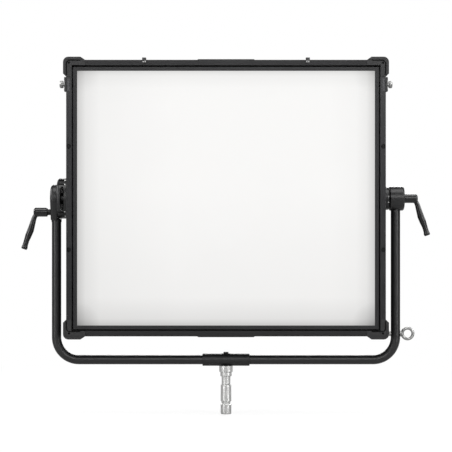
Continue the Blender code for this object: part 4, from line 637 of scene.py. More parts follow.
# ---------------------------------------------------------------- settings

def tint_setting(name, description, default):
    return bpy.props.FloatVectorProperty(name=name, description=description, default=default,
                                         subtype="COLOR", size=3, min=0, max=1)


def length_setting(name, description, default, low, high):
    return bpy.props.FloatProperty(name=name, description=description, default=default,
                                   subtype="DISTANCE", unit="LENGTH", min=low, max=high)


def power_setting(name, description, default):
    return bpy.props.FloatProperty(name=name, description=description, default=default,
                                   subtype="POWER", unit="POWER", min=0, max=2000)


class LightFinishes(bpy.types.PropertyGroup):
    """Colours of the light's own finishes, as linear values."""
    rail_colour: tint_setting("Rail colour", "Anodised extrusions and heat sink", (0.0155, 0.0155, 0.0165))
    paint_colour: tint_setting("Paint colour", "Powder coat on the yoke, castings and covers",
                               (0.007, 0.007, 0.0075))
    moulded_colour: tint_setting("Moulded colour", "Corner guards, control housing, knobs and fans",
                                 (0.009, 0.009, 0.0095))
    steel_colour: tint_setting("Steel colour", "Stand pin, pull pins, studs and eye", (0.40, 0.40, 0.395))
    glow_colour: tint_setting("Glow colour", "Lit diffuser where it is brightest", (0.945, 0.94, 0.93))
    glow_strength: bpy.props.FloatProperty(
        name="Glow strength", description="Emission of the lit diffuser", min=0, max=20, default=0.93)


class LightSizes(bpy.types.PropertyGroup):
    """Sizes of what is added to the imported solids."""
    rail_edge: length_setting("Rail edge", "Broken edge of extrusions and sheet parts",
                              0.4 * MM, 0.1 * MM, 2 * MM)
    guard_edge: length_setting("Guard edge", "Rounding of the corner guards and the control housing",
                               0.7 * MM, 0.1 * MM, 3 * MM)
    casting_grain: length_setting("Casting grain", "Mesh size of the cast pieces",
                                  0.8 * MM, 0.4 * MM, 2 * MM)
    strip_proud: length_setting("Side strips", "How far the two front strips stand proud",
                                1.0 * MM, 0.2 * MM, 3 * MM)
    tube_sides: bpy.props.IntProperty(
        name="Tube sides", description="Sides of the yoke's round tube", min=12, max=96, default=48)


class StudioSettings(bpy.types.PropertyGroup):
    """Camera, lamps and floor."""
    distance: length_setting("Camera distance", "From the tilt axis", 4.02, 0.5, 20)
    height: length_setting("Camera height", "Above the foot of the stand pin", 0.5033, 0, 5)
    focal_length: bpy.props.FloatProperty(
        name="Focal length", description="In millimetres on a 36 mm sensor", subtype="DISTANCE_CAMERA",
        unit="CAMERA", min=20, max=400, default=119.4)
    side_power: power_setting("Side lamps", "Power of each tall side lamp", 38)
    top_power: power_setting("Top lamp", "Power of the overhead lamp", 45)
    front_power: power_setting("Front lamp", "Power of the broad front lamp", 68)
    back_power: power_setting("Back lamp", "Power of the lamp behind the light", 95)
    flank_power: power_setting("Flank lamps", "Power of the high lamp on each flank", 62)
    ambient: bpy.props.FloatProperty(
        name="Ambient", description="Strength of the surroundings on matt surfaces", min=0, max=2,
        default=0.2)
    floor_bounce: bpy.props.FloatProperty(
        name="Floor bounce", description="Paleness of the floor in the light it throws back",
        subtype="FACTOR", min=0, max=1, default=0.4)
    floor_size: length_setting("Floor size", "Side of the square floor", 30, 2, 100)


# ---------------------------------------------------------------- head

class DressChassis(bpy.types.Operator):
    """Rails, bezel frame, centre plates, hanging clips, front strips and frame screws"""
    bl_idname = "panel_light.chassis"
    bl_label = "Chassis and bezel"

    def execute(self, context):
        edge = context.scene.light_sizes.rail_edge
        for node in ("left_rail", "right_rail"):
            ease(node, edge, "rail_upright", "black_anodised")
        for node in ("top_rail", "bottom_rail", "top_plate", "bottom_plate"):
            ease(node, edge, "rail_level", "black_anodised")
        ease("diffuser_frame", edge, "bezel_black", "black_anodised", "bezel_frame")
        for node in ("top_clip_left", "top_clip_right"):
            ease(node, edge, "cover_paint", "black_paint")
            low, high = span(node)
            places = [at((x, low.y, low.z + 4 * MM), TO_FRONT) for x in (low.x + 3 * MM, high.x - 3 * MM)]
            screws(f"{node}_screws", places, 1.9, 1.2, "stud_steel", 18)
        self.front_strips(context.scene.light_sizes.strip_proud)
        self.frame_screws()
        return {"FINISHED"}

    def front_strips(self, proud):
        """One light strip on each side rail, beside the pull pins."""
        middle = middle_of("latch_plate_left").z
        inset, half_width, below, above = 6.2 * MM, 3 * MM, 18.3 * MM, 14.7 * MM
        for word, x in (("left", LEFT_FACE + inset), ("right", RIGHT_FACE - inset)):
            bm = bmesh.new()
            box_between(bm, (x - half_width, FRONT_FACE - proud, middle - below),
                        (x + half_width, FRONT_FACE + 0.2 * MM, middle + above), 0.35 * MM)
            piece(bm, f"front_strip_{word}", "strip_grey")

    def frame_screws(self):
        """Four round screws on the side rails, each in a dark ring painted as the shade of its recess."""
        inset, rise = 6.6 * MM, 136.5 * MM
        places = [at((x, FRONT_FACE, z), TO_FRONT) for x in (LEFT_FACE + inset, RIGHT_FACE - inset)
                  for z in (TILT.z - rise, TILT.z + rise)]
        rings = bmesh.new()
        for place in places:
            turned(rings, [(4, 0.3), (5.9, 0.3), (5.9, 0), (4, 0)], place, 32)
        piece(rings, "frame_screw_recess_shade", "gap_black")
        screws("frame_screws", places, 3.9, 0.6)


class DressLightBox(bpy.types.Operator):
    """Lit diffuser, mixing tray, emitter boards, supply and heat sink"""
    bl_idname = "panel_light.light_box"
    bl_label = "Light box"

    def execute(self, context):
        for node, colour in (("diffuser_panel", "opal"), ("mixing_tray", "tray_white"),
                             ("led_board_left", "emitters"), ("led_board_right", "emitters"),
                             ("power_supply", "supply_sheet")):
            dress(node, colour)
        ease("heat_sink", 0.3 * MM, "rail_upright", "black_anodised", "finned_heat_sink")
        return {"FINISHED"}


class DressCornerGuards(bpy.types.Operator):
    """Four corner guards with their screws and the painted shadow lines of the gaps beside them"""
    bl_idname = "panel_light.corner_guards"
    bl_label = "Corner guards"

    def execute(self, context):
        edge = context.scene.light_sizes.guard_edge
        inset, proud = 8 * MM, 0.2 * MM
        for vertical, z, up in (("top", TOP_FACE, 1), ("bottom", BOTTOM_FACE, -1)):
            for horizontal, x, out in (("left", LEFT_FACE, -1), ("right", RIGHT_FACE, 1)):
                node = f"corner_guard_{vertical}_{horizontal}"
                ease(node, edge, "moulded_black", "black_plastic", f"{node}_rounded", segments=2)
                places = [at((x - out * inset, face, z - up * inset), turn) for face, turn in
                          ((FRONT_FACE - proud, TO_FRONT), (REAR_FACE + proud, TO_BACK))]
                # the screw heads take the painted gap shade, standing for the shade in their recesses
                screws(f"{node}_screws", places, 3.6, 1.4, "gap_black")
                self.gap_line(node, x / MM, z / MM, out, up)
        return {"FINISHED"}

    def gap_line(self, node, corner_x, corner_z, out, up):
        """Thin dark strip painted as the shadow of the gap on the guard's faces where it meets the frame;
        the lower guards lap over it.
        """
        low, high = span(node)
        arm_x, arm_z = (high.x - low.x) / MM - 20, (high.z - low.z) / MM - 12
        corner, width, lap = 10, 2.8, 11.6 if up < 0 else 0
        lines = []
        for inset in (0, width):
            bend = arc((-corner, -corner - lap), corner - inset, 90, 0, 8)
            lines.append([(-arm_x, -inset - lap), *bend, (-inset, -arm_z)])
        outline = lines[0] + lines[1][::-1]
        bm = bmesh.new()
        for face, turn, flip in ((low.y, TO_FRONT, 1), (high.y, TO_BACK, -1)):
            points = [(corner_x + out * x, flip * (corner_z + up * z)) for x, z in outline]
            raised_outline(bm, points, 0.25, at((0, face, 0), turn))
        piece(bm, f"{node}_painted_gap_shadow", "gap_black")


class DressRearCover(bpy.types.Operator):
    """Rear cover with its screws and the two grab handles"""
    bl_idname = "panel_light.rear_cover"
    bl_label = "Rear cover and handles"

    def execute(self, context):
        dress("rear_cover", "cover_paint")
        low, high = span("rear_cover")
        inset = 9 * MM
        places = []
        for share in (0.12, 0.31, 0.5, 0.69, 0.88):
            x, z = low.x + (high.x - low.x) * share, low.z + (high.z - low.z) * share
            places += [(x, low.z + inset), (x, high.z - inset), (low.x + inset, z), (high.x - inset, z)]
        screws("cover_screws", [at((x, high.y, z), TO_BACK) for x, z in places], 3.4, 1.8, steps=20)
        for word in ("left", "right"):
            self.grab_handle(word)
        return {"FINISHED"}

    def grab_handle(self, word):
        low, high = span(f"rear_handle_{word}")
        x, base = (low.x + high.x) / 2, low.y
        radius, bend = 8 * MM, 20 * MM
        top, reach = high.z - 14 * MM - TILT.z, high.y - radius
        half = [(base + 1 * MM, top)] + arc((reach - bend, top - bend), bend, 90, 0, 12)
        path = half + [(y, -z) for y, z in reversed(half)]
        bm = bmesh.new()
        swept_rod(bm, [((x, y, TILT.z + z), radius, radius) for y, z in path], (1, 0, 0))
        for z in (top, -top):
            turned(bm, [(0, 4), (9.6, 4), (10.2, 3.4), (12.6, 3.4), (14, 2.2), (14, 0), (0, 0)],
                   at((x, base, TILT.z + z), TO_BACK), 48)
        piece(bm, f"grab_handle_{word}", "yoke_paint", [f"rear_handle_{word}"])


class DressFans(bpy.types.Operator):
    """Fan frames, bladed rotors and finger guards"""
    bl_idname = "panel_light.fans"
    bl_label = "Fans"
    blades = 7

    def execute(self, context):
        for word in ("left", "right"):
            dress(f"fan_frame_{word}", "knob_black")
            self.rotor(word)
            self.guard(word)
        return {"FINISHED"}

    def rotor(self, word):
        low, high = span(f"fan_rotor_{word}")
        axis = joint_place(f"{word}_fan_spin")
        place = at((axis.x, low.y, axis.z), TO_BACK)
        depth, tip = (high.y - low.y) / MM, (high.x - low.x) / MM / 2 - 0.2
        hub, root, thickness = 18, 17, 1.3
        bm = bmesh.new()
        turned(bm, [(0, depth), (hub - 2, depth), (hub, depth - 2), (hub, 0), (0, 0)], place)
        for number in range(self.blades):
            blade = bmesh.new()
            bmesh.ops.create_grid(blade, x_segments=12, y_segments=7, size=0.5)
            for vert in blade.verts:
                along, across = vert.co.x + 0.5, vert.co.y
                radius = root + (tip - root) * along
                pitch = math.radians(58 - 26 * along)
                turn = across * depth * 0.95 * math.sin(pitch) / radius + 0.22 * along * along
                turn += math.tau * number / self.blades
                rise = depth * (0.5 + across * 0.78 * math.cos(pitch))
                rise += 1.4 * math.sin(math.pi * (across + 0.5)) - 0.7
                vert.co = Vector((radius * math.cos(turn), radius * math.sin(turn), rise)) * MM
            bmesh.ops.solidify(blade, geom=list(blade.faces), thickness=thickness * MM)
            absorb(bm, blade, place)
        piece(bm, f"bladed_rotor_{word}", "knob_black", [f"fan_rotor_{word}"],
              f"{word}_fan")

    def guard(self, word):
        """Square plate with ring wires, a cross of spokes and a screw in each corner."""
        low, high = span(f"fan_guard_{word}")
        middle = (low + high) / 2
        half, thick = (high.x - low.x) / 2 / MM, (high.y - low.y) / MM
        bore = 42.5
        bm = bmesh.new()
        place = at((middle.x, low.y, middle.z), TO_BACK)
        raised_ring(bm, rounded_rectangle(half, half, 7), arc((0, 0), bore, 0, 360, 48)[:-1], thick, place)
        for radius in (9, 17.5, 26, 34.5):
            wire = arc((radius, thick / 2), thick * 0.4, 0, 360, 10)[:-1]
            turned(bm, [*wire, wire[0]], place)
        for degrees in (45, 135, 225, 315):
            ends = [(*polar(reach * MM, degrees), thick * MM / 2) for reach in (7, bore + 1)]
            spoke = [(end, thick * MM * 0.42, thick * MM * 0.3) for end in ends]
            swept_rod(bm, spoke, (0, 0, 1), place, 12)
        reach = (half - 6) * MM
        for sx in (-1, 1):
            for sz in (-1, 1):
                corner = at((middle.x + sx * reach, high.y, middle.z + sz * reach), TO_BACK)
                socket_screw(bm, corner, 2.9, 1.7, 18)
        piece(bm, f"finger_guard_{word}", "cover_paint", [f"fan_guard_{word}"])


class DressControls(bpy.types.Operator):
    """Control housing, display, knobs, buttons, rocker and sockets"""
    bl_idname = "panel_light.controls"
    bl_label = "Control housing"
    flutes = 30

    def execute(self, context):
        ease("control_housing", context.scene.light_sizes.guard_edge, "moulded_black", "black_plastic",
             "control_shell", segments=2, angle=40)
        dress("display_window", "display")
        dress("driver_board", "driver")
        self.display_surround()
        self.housing_screws()
        for word in ("left", "right"):
            self.knob(word)
        for word in ("menu", "mode"):
            self.button(word)
        ease("power_rocker", 0.5 * MM, "knob_black", "black_plastic", "rocker_cap", "rocker", segments=2)
        for node in ("mains_inlet", "data_sockets"):
            ease(node, 0.35 * MM, "knob_black", "black_plastic", angle=40, whole=False)
        self.contacts()
        return {"FINISHED"}

    def display_surround(self):
        """Frame round the display, and a raised ring round each knob."""
        low, high = span("display_window")
        middle, half = (low + high) / 2, (high - low) / 2 / MM
        outer = rounded_rectangle(half.x + 4, half.z + 4, 4, 5)
        inner = rounded_rectangle(half.x - 1.5, half.z - 1.5, 1.5, 5)
        bm = bmesh.new()
        raised_ring(bm, outer, inner, 0.9, at((middle.x, PANEL_FACE, middle.z), TO_BACK))
        for knob in ("left", "right"):
            place = joint_place(f"{knob}_knob_turn")
            turned(bm, [(13.6, 0.7), (14.6, 0.7), (14.6, 0), (13.6, 0)],
                   at((place.x, PANEL_FACE - 0.3 * MM, place.z), TO_BACK), 48)
        piece(bm, "display_surround", "knob_black")

    def housing_screws(self):
        """Screws of the housing and of the socket plates under it."""
        low, high = span("control_housing")
        bm = bmesh.new()
        for x in (low.x + 20 * MM, high.x - 20 * MM):
            for z in (low.z + 20 * MM, high.z - 44 * MM):
                socket_screw(bm, at((x, PANEL_FACE - 0.3 * MM, z), TO_BACK), 3.2, 1.8)
        for node in ("mains_inlet", "data_sockets"):
            low, high = span(node)
            for x in (low.x + 2.9 * MM, high.x - 2.9 * MM):
                for y in (low.y + 2.9 * MM, high.y - 2.9 * MM):
                    socket_screw(bm, at((x, y, low.z), DOWNWARD), 1.7, 1.1, 16)
        piece(bm, "housing_screws", "black_screw")

    def knob(self, word):
        """Fluted skirt with a dished cap, on its shaft."""
        axis = joint_place(f"{word}_knob_turn")
        low, high = span(f"encoder_knob_{word}")
        rise, foot = (high.y - PANEL_FACE) / MM + 0.3, (low.y - PANEL_FACE) / MM
        place = at((axis.x, PANEL_FACE, axis.z), TO_BACK)
        bm = bmesh.new()
        outline = [polar(reach, 360 / self.flutes * (number + share)) for number in range(self.flutes)
                   for share, reach in ((-0.2, 11.9), (0.2, 11.9), (0.5, 11.2))]
        raised_outline(bm, outline, rise - 1.2, place, 0.5)
        turned(bm, [(0, rise - 1.6), (6.5, rise - 1.5), (9.2, rise - 0.6), (10.2, rise - 0.9),
                    (10.4, rise - 2), (0, rise - 3)], place)
        turned(bm, [(0, 1), (3, 1), (3, foot), (0, foot)], place, 24)
        piece(bm, f"fluted_knob_{word}", "knob_black", [f"encoder_knob_{word}"],
              f"{word}_knob")

    def button(self, word):
        low, high = span(f"button_{word}")
        middle = (low + high) / 2
        rise, foot = (high.y - PANEL_FACE) / MM, (low.y - PANEL_FACE) / MM
        profile = [(0, rise - 0.7), (3.2, rise - 0.45), (4.6, rise - 0.05), (5.2, rise),
                   (5.8, rise - 0.25), (6, rise - 0.8), (6, -3.1), (8, -3.1), (8, foot), (0, foot)]
        cap = turning(profile, at((middle.x, PANEL_FACE, middle.z), TO_BACK), 48)
        piece(cap, f"dished_button_{word}", "knob_black", [f"button_{word}"],
              f"{word}_button")

    def contacts(self):
        """Three flat blades in the mains inlet and five pins in each data socket."""
        bm = bmesh.new()
        low, high = span("mains_inlet")
        for turn in (90, 210, 330):
            x, y = polar(4.6 * MM, turn, middle_of("mains_inlet").xy)
            box_between(bm, (x - 1.6 * MM, y - 0.5 * MM, low.z + 4 * MM),
                        (x + 1.6 * MM, y + 0.5 * MM, low.z + 16 * MM), 0.2 * MM, 1)
        low, high = span("data_sockets")
        x, y = middle_of("data_sockets").xy
        for x in (low.x + 13 * MM, x, high.x - 13 * MM):
            for turn in (-50, 20, 90, 160, 230):
                turned(bm, [(0, 10.5), (0.8, 10.5), (0.8, 0.5), (0.4, 0), (0, 0)],
                       at((*polar(4.4 * MM, turn, (x, y)), low.z + 5 * MM)), 12)
        piece(bm, "socket_contacts", "contacts")


# ---------------------------------------------------------------- yoke and its fittings

class DressYoke(bpy.types.Operator):
    """Bent tube, sleeve, bolt and stand pin"""
    bl_idname = "panel_light.yoke"
    bl_label = "Yoke and stand pin"
    # radius and height from the pin's foot
    pin = ((0, 0), (12.3, 0), (13.2, 0.25), (14.05, 1.1), (14.3, 2), (14.3, 25.3), (14.1, 25.85),
           (13.8, 26), (12.3, 26.6), (11.8, 27.3), (11.8, 31.8), (12.1, 32.5), (14.0, 34.6),
           (14.3, 35.2), (14.3, 76.6), (14.1, 77.5), (13.1, 78.9), (12.4, 79.05), (11.8, 79.6),
           (11.8, 100), (12.1, 100.5), (13.8, 100.5), (14.9, 101.3), (15.2, 102), (15.2, 111.6),
           (15.6, 112), (16.9, 112), (18.0, 113.2), (18.3, 114), (18.3, 129.1), (17.9, 129.5), (0, 129.5))

    def execute(self, context):
        self.tube(context.scene.light_sizes.tube_sides)
        self.sleeve()
        self.sleeve_bolt()
        self.stand_pin()
        return {"FINISHED"}

    def tube(self, sides):
        low, high = span("yoke_tube")
        radius, bend = (high.y - low.y) / 2, 60 * MM
        leg, base = high.x - radius, low.z + radius
        path = [(-leg, TILT.z - 60.8 * MM)] + arc((-leg + bend, base + bend), bend, 180, 270, 20)
        path += arc((leg - bend, base + bend), bend, 270, 360, 20) + [(leg, high.z)]
        bm = bmesh.new()
        swept_rod(bm, [((x, 0, z), radius, radius) for x, z in path], (0, 1, 0), UPWARD, sides)
        piece(bm, "bent_tube", "yoke_paint", ["yoke_tube"], "yoke")

    def sleeve(self):
        """Sleeve with rounded ends and a seat for the bolt's head."""
        low, high = span("yoke_sleeve")
        half, radius, centre = high.x / MM, (high.y - low.y) / 2 / MM, (low.z + high.z) / 2
        end = [(radius - 1.2, half), (radius - 0.4, half - 0.4), (radius, half - 1.2)]
        profile = [(12.7, half), *end, *[(reach, -height) for reach, height in reversed(end)],
                   (12.7, -half)]
        bm = turning(profile, at((0, 0, centre), TO_RIGHT), 96)
        seat = turning([(0, 30), (12.3, 30), (12.3, 14.3), (0, 14.3)], at((0, 0, centre)))
        piece(cut_with(bm, seat), "clamped_sleeve", "sleeve_paint", ["yoke_sleeve"],
              "yoke")

    def sleeve_bolt(self):
        """Flanged cap screw down through the sleeve."""
        low, high = span("sleeve_bolt")
        foot, head = low.z / MM, high.z / MM
        top = head - 4.2
        profile = [(0, top + 1.2), (3.4, top + 1.2), (3.4, head), (6.1, head), (6.7, head - 0.6),
                   (6.7, top + 0.01), (11.6, top), (12, top - 0.4), (12, top - 2), (4, top - 2),
                   (4, foot), (0, foot)]
        piece(turning(profile, UPWARD), "sleeve_cap_screw", "black_screw",
              ["sleeve_bolt"], "yoke")

    def stand_pin(self):
        """Turned pin with its groove, neck and stepped collar, saddled to the sleeve."""
        pin = turning(self.pin, at((0, 0, span("stand_pin")[0].z)), 96)
        saddle = turning([(0, 40), (16.8, 40), (16.8, -40), (0, -40)],
                         at((0, 0, middle_of("yoke_sleeve").z), TO_RIGHT), 96)
        piece(cut_with(pin, saddle), "turned_stand_pin", "pin_steel", ["stand_pin"],
              "yoke")


class DressPivots(bpy.types.Operator):
    """Brake drum, yoke heads, flange and the screws that hold them"""
    bl_idname = "panel_light.pivots"
    bl_label = "Pivots"
    screw_angles = (28, 47, 133, 152, 208, 227, 313, 332)
    bolt_bore, stud_bore, stud_drop = 8.3, 6.4, 36.7

    def execute(self, context):
        self.brake_drum()
        self.left_head(context.scene.light_sizes.casting_grain)
        self.left_bolt()
        self.right_flange()
        self.right_head()
        return {"FINISHED"}

    def drum_slot(self):
        """Arc slot that the clamp stud runs in, as a closed outline."""
        outline = []
        for radius, start, end in ((43.1, 80, 280), (30.3, 280, 80)):
            outline += arc((0, 0), radius, start, end, 40)
            turn = end + (0 if end > start else 180)
            outline += arc(polar(self.stud_drop, end), self.stud_bore, turn, turn + 180, 8)[1:-1]
        return outline

    def brake_drum(self):
        low, high = span("brake_drum")
        radius, length = (high.z - low.z) / 2 / MM, (LEFT_FACE - low.x) / MM
        face = at((LEFT_FACE, 0, TILT.z), TO_LEFT)
        corner, inside, boss, web, gap = 8, 46.5, 15, 9, 0.3
        rim = arc((radius - corner, length - corner), corner, 90, 0, 8)
        profile = [(self.bolt_bore, length), *rim, (radius, gap), (inside, gap), (inside, length - web),
                   (boss, length - web), (boss, gap), (self.bolt_bore, gap)]
        cutters = []
        half_width, half_height = 5.3, 31.5
        shares = [math.sin(math.pi * step / 20) for step in range(-10, 11)]
        half = [(half_width * math.sqrt(1 - share ** 4), half_height * share) for share in shares]
        for side in (-1, 1):
            window = bmesh.new()
            raised_outline(window, half + [(-x, y) for x, y in reversed(half[1:-1])], 24,
                           at((LEFT_FACE - 12.5 * MM, (side * 46 + 12) * MM, TILT.z), TO_FRONT))
            cutters.append(window)
        heads = bmesh.new()
        pitch, pocket, floor = 52 * MM, 3.95, 4
        for degrees in self.screw_angles:
            place = face @ Matrix.Translation((*polar(pitch, degrees), 0))
            cutters.append(turning([(0, 30), (pocket, 30), (pocket, floor), (0, floor)], place, 24))
            socket_screw(heads, place @ Matrix.Translation((0, 0, floor * MM)), 3.5, 3.6)
        slot = bmesh.new()
        raised_outline(slot, self.drum_slot(), 20, face @ Matrix.Translation((0, 0, (length - 14) * MM)))
        # the slot is cut last, because the windows cut after it leave the drum open
        drum = turning(profile, face, 120)
        piece(cut_with(drum, *cutters, slot), "slotted_brake_drum", "yoke_paint",
              ["brake_drum"])
        piece(heads, "brake_drum_screws", "stud_steel")

    def left_head(self, grain):
        """Rounded plate with its foot on the left leg, bored for the pivot bolt and the clamp stud."""
        inner = LEFT_FACE - 28.4 * MM
        top = arc((0, 0), 37, -102, 102, 48)
        foot = [(-57.5, 20), (-57.5, -20)]
        bm = bmesh.new()
        raised_outline(bm, top + foot, 18, at((inner, 0, TILT.z), TO_LEFT), 9, 6, -57)
        turned(bm, [(0, 0), (13.6, 0), (13.6, 9), (0, 9)],
               at((span("yoke_tube")[0].x + 12.5 * MM, 0, TILT.z - 63.5 * MM)))
        web = [(-29, -56), (-24, -56), (-24, -53.8), (-29, -48.8)]
        raised_outline(bm, web, 22, at((LEFT_FACE, 11 * MM, TILT.z), TO_FRONT))
        bores = [turning([(0, -1), (radius, -1), (radius, 20), (0, 20)],
                         at((inner, 0, TILT.z - drop * MM), TO_LEFT), 48)
                 for radius, drop in ((self.bolt_bore, 0), (self.stud_bore, self.stud_drop))]
        piece(cut_with(cast(bm, grain, 6), *bores), "cast_yoke_head", "yoke_paint",
              ["left_yoke_head"], "yoke", 50)

    def left_bolt(self):
        low, high = span("left_pivot_bolt")
        out, end = (LEFT_FACE - low.x) / MM, (LEFT_FACE - high.x) / MM
        seat = out - 1.4
        profile = [(0, out - 0.5), (4, out - 0.5), (4.2, out), (10, out), (10.8, out - 0.3),
                   (11, out - 0.9), (11, seat), (8, seat), (8, end), (0, end)]
        bolt = turning(profile, at((LEFT_FACE, 0, TILT.z), TO_LEFT))
        piece(bolt, "pivot_bolt", "black_screw", ["left_pivot_bolt"], "yoke")
        dress("left_clamp_nut", "black_screw")

    def right_flange(self):
        """Stepped flange with its axle, screws in pockets and two small screws on the front."""
        face = at((RIGHT_FACE, 0, TILT.z), TO_RIGHT)
        end = (span("right_pivot_flange")[1].x - RIGHT_FACE) / MM
        rim = 30.4
        flange = turning([(0, 20.5), (6.4, 20.5), (6.4, end), (9.5, end), (10, end - 0.5), (10, 14.5),
                          (19.2, 14.5), (20, 13.7), (20, 12.9), (29.6, 12.9), (rim, 12.1), (rim, 7.2),
                          (31, 6.3), (32, 5.3), (32, 0.3), (0, 0.3)], face, 96)
        heads = bmesh.new()
        pockets = []
        pitch, pocket, floor = 25 * MM, 3.9, 8.6
        for degrees in range(30, 390, 60):
            place = face @ Matrix.Translation((*polar(pitch, degrees), 0))
            pockets.append(turning([(0, 20), (pocket, 20), (pocket, floor), (0, floor)], place, 24))
            socket_screw(heads, place @ Matrix.Translation((0, 0, floor * MM)), 3.5, 3.4)
        for out, rise in ((10.2, -9.9), (10.6, 4.6)):
            depth = math.sqrt(rim ** 2 - rise ** 2) - 0.4
            place = at((RIGHT_FACE + out * MM, -depth * MM, TILT.z + rise * MM), TO_FRONT)
            socket_screw(heads, place, 1.9, 0.8, 20)
        piece(cut_with(flange, *pockets), "axle_flange", "yoke_paint",
              ["right_pivot_flange"])
        piece(heads, "axle_flange_screws", "stud_steel")
        dress("right_pivot_bush", "bronze")

    def right_head(self):
        low, high = span("right_yoke_drum")
        radius = (high.y - low.y) / 2 / MM
        start, end = (low.x - RIGHT_FACE) / MM, (high.x - RIGHT_FACE) / MM
        profile = [(6.4, end), (14, end), (14.6, end - 0.6), (radius - 9, end - 0.6),
                   *arc((radius - 5, end - 5), 5, 80, 0, 8), (radius, start + 1.2),
                   (radius - 1.2, start), (13.3, start), (13.3, end - 6), (6.4, end - 6)]
        drum = turning(profile, at((RIGHT_FACE, 0, TILT.z), TO_RIGHT), 96)
        piece(drum, "round_yoke_head", "yoke_paint", ["right_yoke_drum"], "yoke")


class DressLevers(bpy.types.Operator):
    """Cast clamping levers on their studs"""
    bl_idname = "panel_light.levers"
    bl_label = "Clamping levers"
    # out from the hub's inner end, down from its axis, half width and half depth of the arm there
    route = ((27, -2, 5.9, 7.2), (31.5, 7, 6.2, 7.6), (36, 16, 6.6, 8.1), (40.6, 32, 7.6, 9.0),
             (45.2, 48, 8.8, 9.2), (51, 62, 8.7, 8.7), (56.2, 76, 7.2, 7.9), (59.8, 88, 7.2, 8.5),
             (61.8, 95, 8.5, 9.2), (63.2, 99, 7.3, 7.6))
    hub = ((0, 36.8), (8.1, 36.8), (12.1, 32.8), (12.1, 1), (11.1, 0), (0, 0))
    bore = ((0, 38), (6.8, 38), (6.8, 23), (3.8, 23), (3.8, 20), (7.4, 20), (7.4, -1), (0, -1))

    def execute(self, context):
        grain = context.scene.light_sizes.casting_grain * 0.85
        for word, outward in (("left", -1), ("right", 1)):
            node = f"lever_handle_{word}"
            low, high = span(node)
            start, height = (low.x if outward > 0 else high.x), high.z - 12.1 * MM
            axis = at((start, 0, height), TO_RIGHT if outward > 0 else TO_LEFT)
            bm = turning(self.hub, axis, 80)
            stations = [((start + outward * out * MM, 0, height - drop * MM), width * MM, depth * MM)
                        for out, drop, width, depth in self.route]
            swept_rod(bm, stations, (0, 1, 0), UPWARD, 40)
            bored = cut_with(cast(bm, grain, 9), turning(self.bore, axis, 48))
            piece(bored, f"cast_lever_{word}", "lever_paint", [node],
                  f"{word}_lever_handle", 50)
            dress(f"lever_stud_{word}", "black_screw")
        return {"FINISHED"}


class DressSafetyEye(bpy.types.Operator):
    """Forged eye and its nut on the right leg"""
    bl_idname = "panel_light.safety_eye"
    bl_label = "Safety eye"
    hexagon = [polar(7.5, turn) for turn in range(30, 390, 60)]

    def execute(self, context):
        low, high = span("eye_bolt")
        height = middle_of("eye_bolt").z
        leg = span("yoke_tube")[1].x - 12.5 * MM
        ring, tip = high.x - 18.4 * MM, (low.x - leg) / MM
        stop = (ring - leg) / MM - 12.4
        bm = bmesh.new()
        turned(bm, arc((14.3, 0), 4.1, 0, 360, 20), at((ring, 0, height), TO_FRONT), 80)
        turned(bm, [(0, stop), (4.6, stop), (4.0, stop - 1.6), (4.2, 17.2), (5.2, 15.8), (7.2, 15.5),
                    (8, 14.8), (8, 12.8), (4, 12.8), (4, tip + 0.6), (3.4, tip), (0, tip)],
               at((leg, 0, height), TO_RIGHT), 48)
        piece(bm, "forged_eye", "stud_steel", ["eye_bolt"], "yoke", 40)
        low, high = span("eye_bolt_nut")
        place = at((low.x, 0, height), TO_RIGHT)
        nut = bmesh.new()
        raised_outline(nut, self.hexagon, (high.x - low.x) / MM, place)
        chamfer = turning([(7.0, -1), (9, -1), (9, 2)], place, 48)
        piece(cut_with(nut, chamfer), "eye_nut", "stud_steel", ["eye_bolt_nut"],
              "yoke")
        return {"FINISHED"}


class DressPullPins(bpy.types.Operator):
    """Two pull pins with their plates and screws"""
    bl_idname = "panel_light.pull_pins"
    bl_label = "Pull pins"
    knob = ((0, 17.8), (6.4, 17.8), (7.4, 17.6), (9.4, 16), (10, 15.3), (10, 14.4), (9.6, 14),
            (9.6, 13.4), (10, 13), (10, 12), (9.6, 11.6), (9.6, 11), (10, 10.6), (10, 9.8),
            (9.2, 8.6), (8, 7.8), (5.5, 7.8), (5.5, 5.3), (0, 5.3))
    shank = ((0, 5.4), (3, 5.4), (3, -19.7), (2.4, -20.5), (2, -20.7), (0, -20.7))

    def execute(self, context):
        for word, turn, face in (("left", TO_LEFT, LEFT_FACE), ("right", TO_RIGHT, RIGHT_FACE)):
            plate = f"latch_plate_{word}"
            y, z = middle_of(plate).yz
            ease(plate, 0.5 * MM, "yoke_paint", "black_paint", segments=2)
            places = [at((face, y, z + rise * MM), turn) @ Matrix.Translation((0, 0, 4.8 * MM))
                      for rise in (-14, 14)]
            screws(f"{plate}_screws", places, 2.7, 1.5)
            # the shank takes the dark screw finish as painted shade, for the dark channel it runs in
            for name, profile, colour, nodes in (
                    ("knob", self.knob, "stud_steel", [f"latch_pin_{word}"]),
                    ("shank", self.shank, "black_screw", ())):
                shape = turning(profile, at((face, y, z), turn))
                piece(shape, f"pull_pin_{name}_{word}", colour, nodes, f"{word}_latch")
        return {"FINISHED"}


# ---------------------------------------------------------------- studio

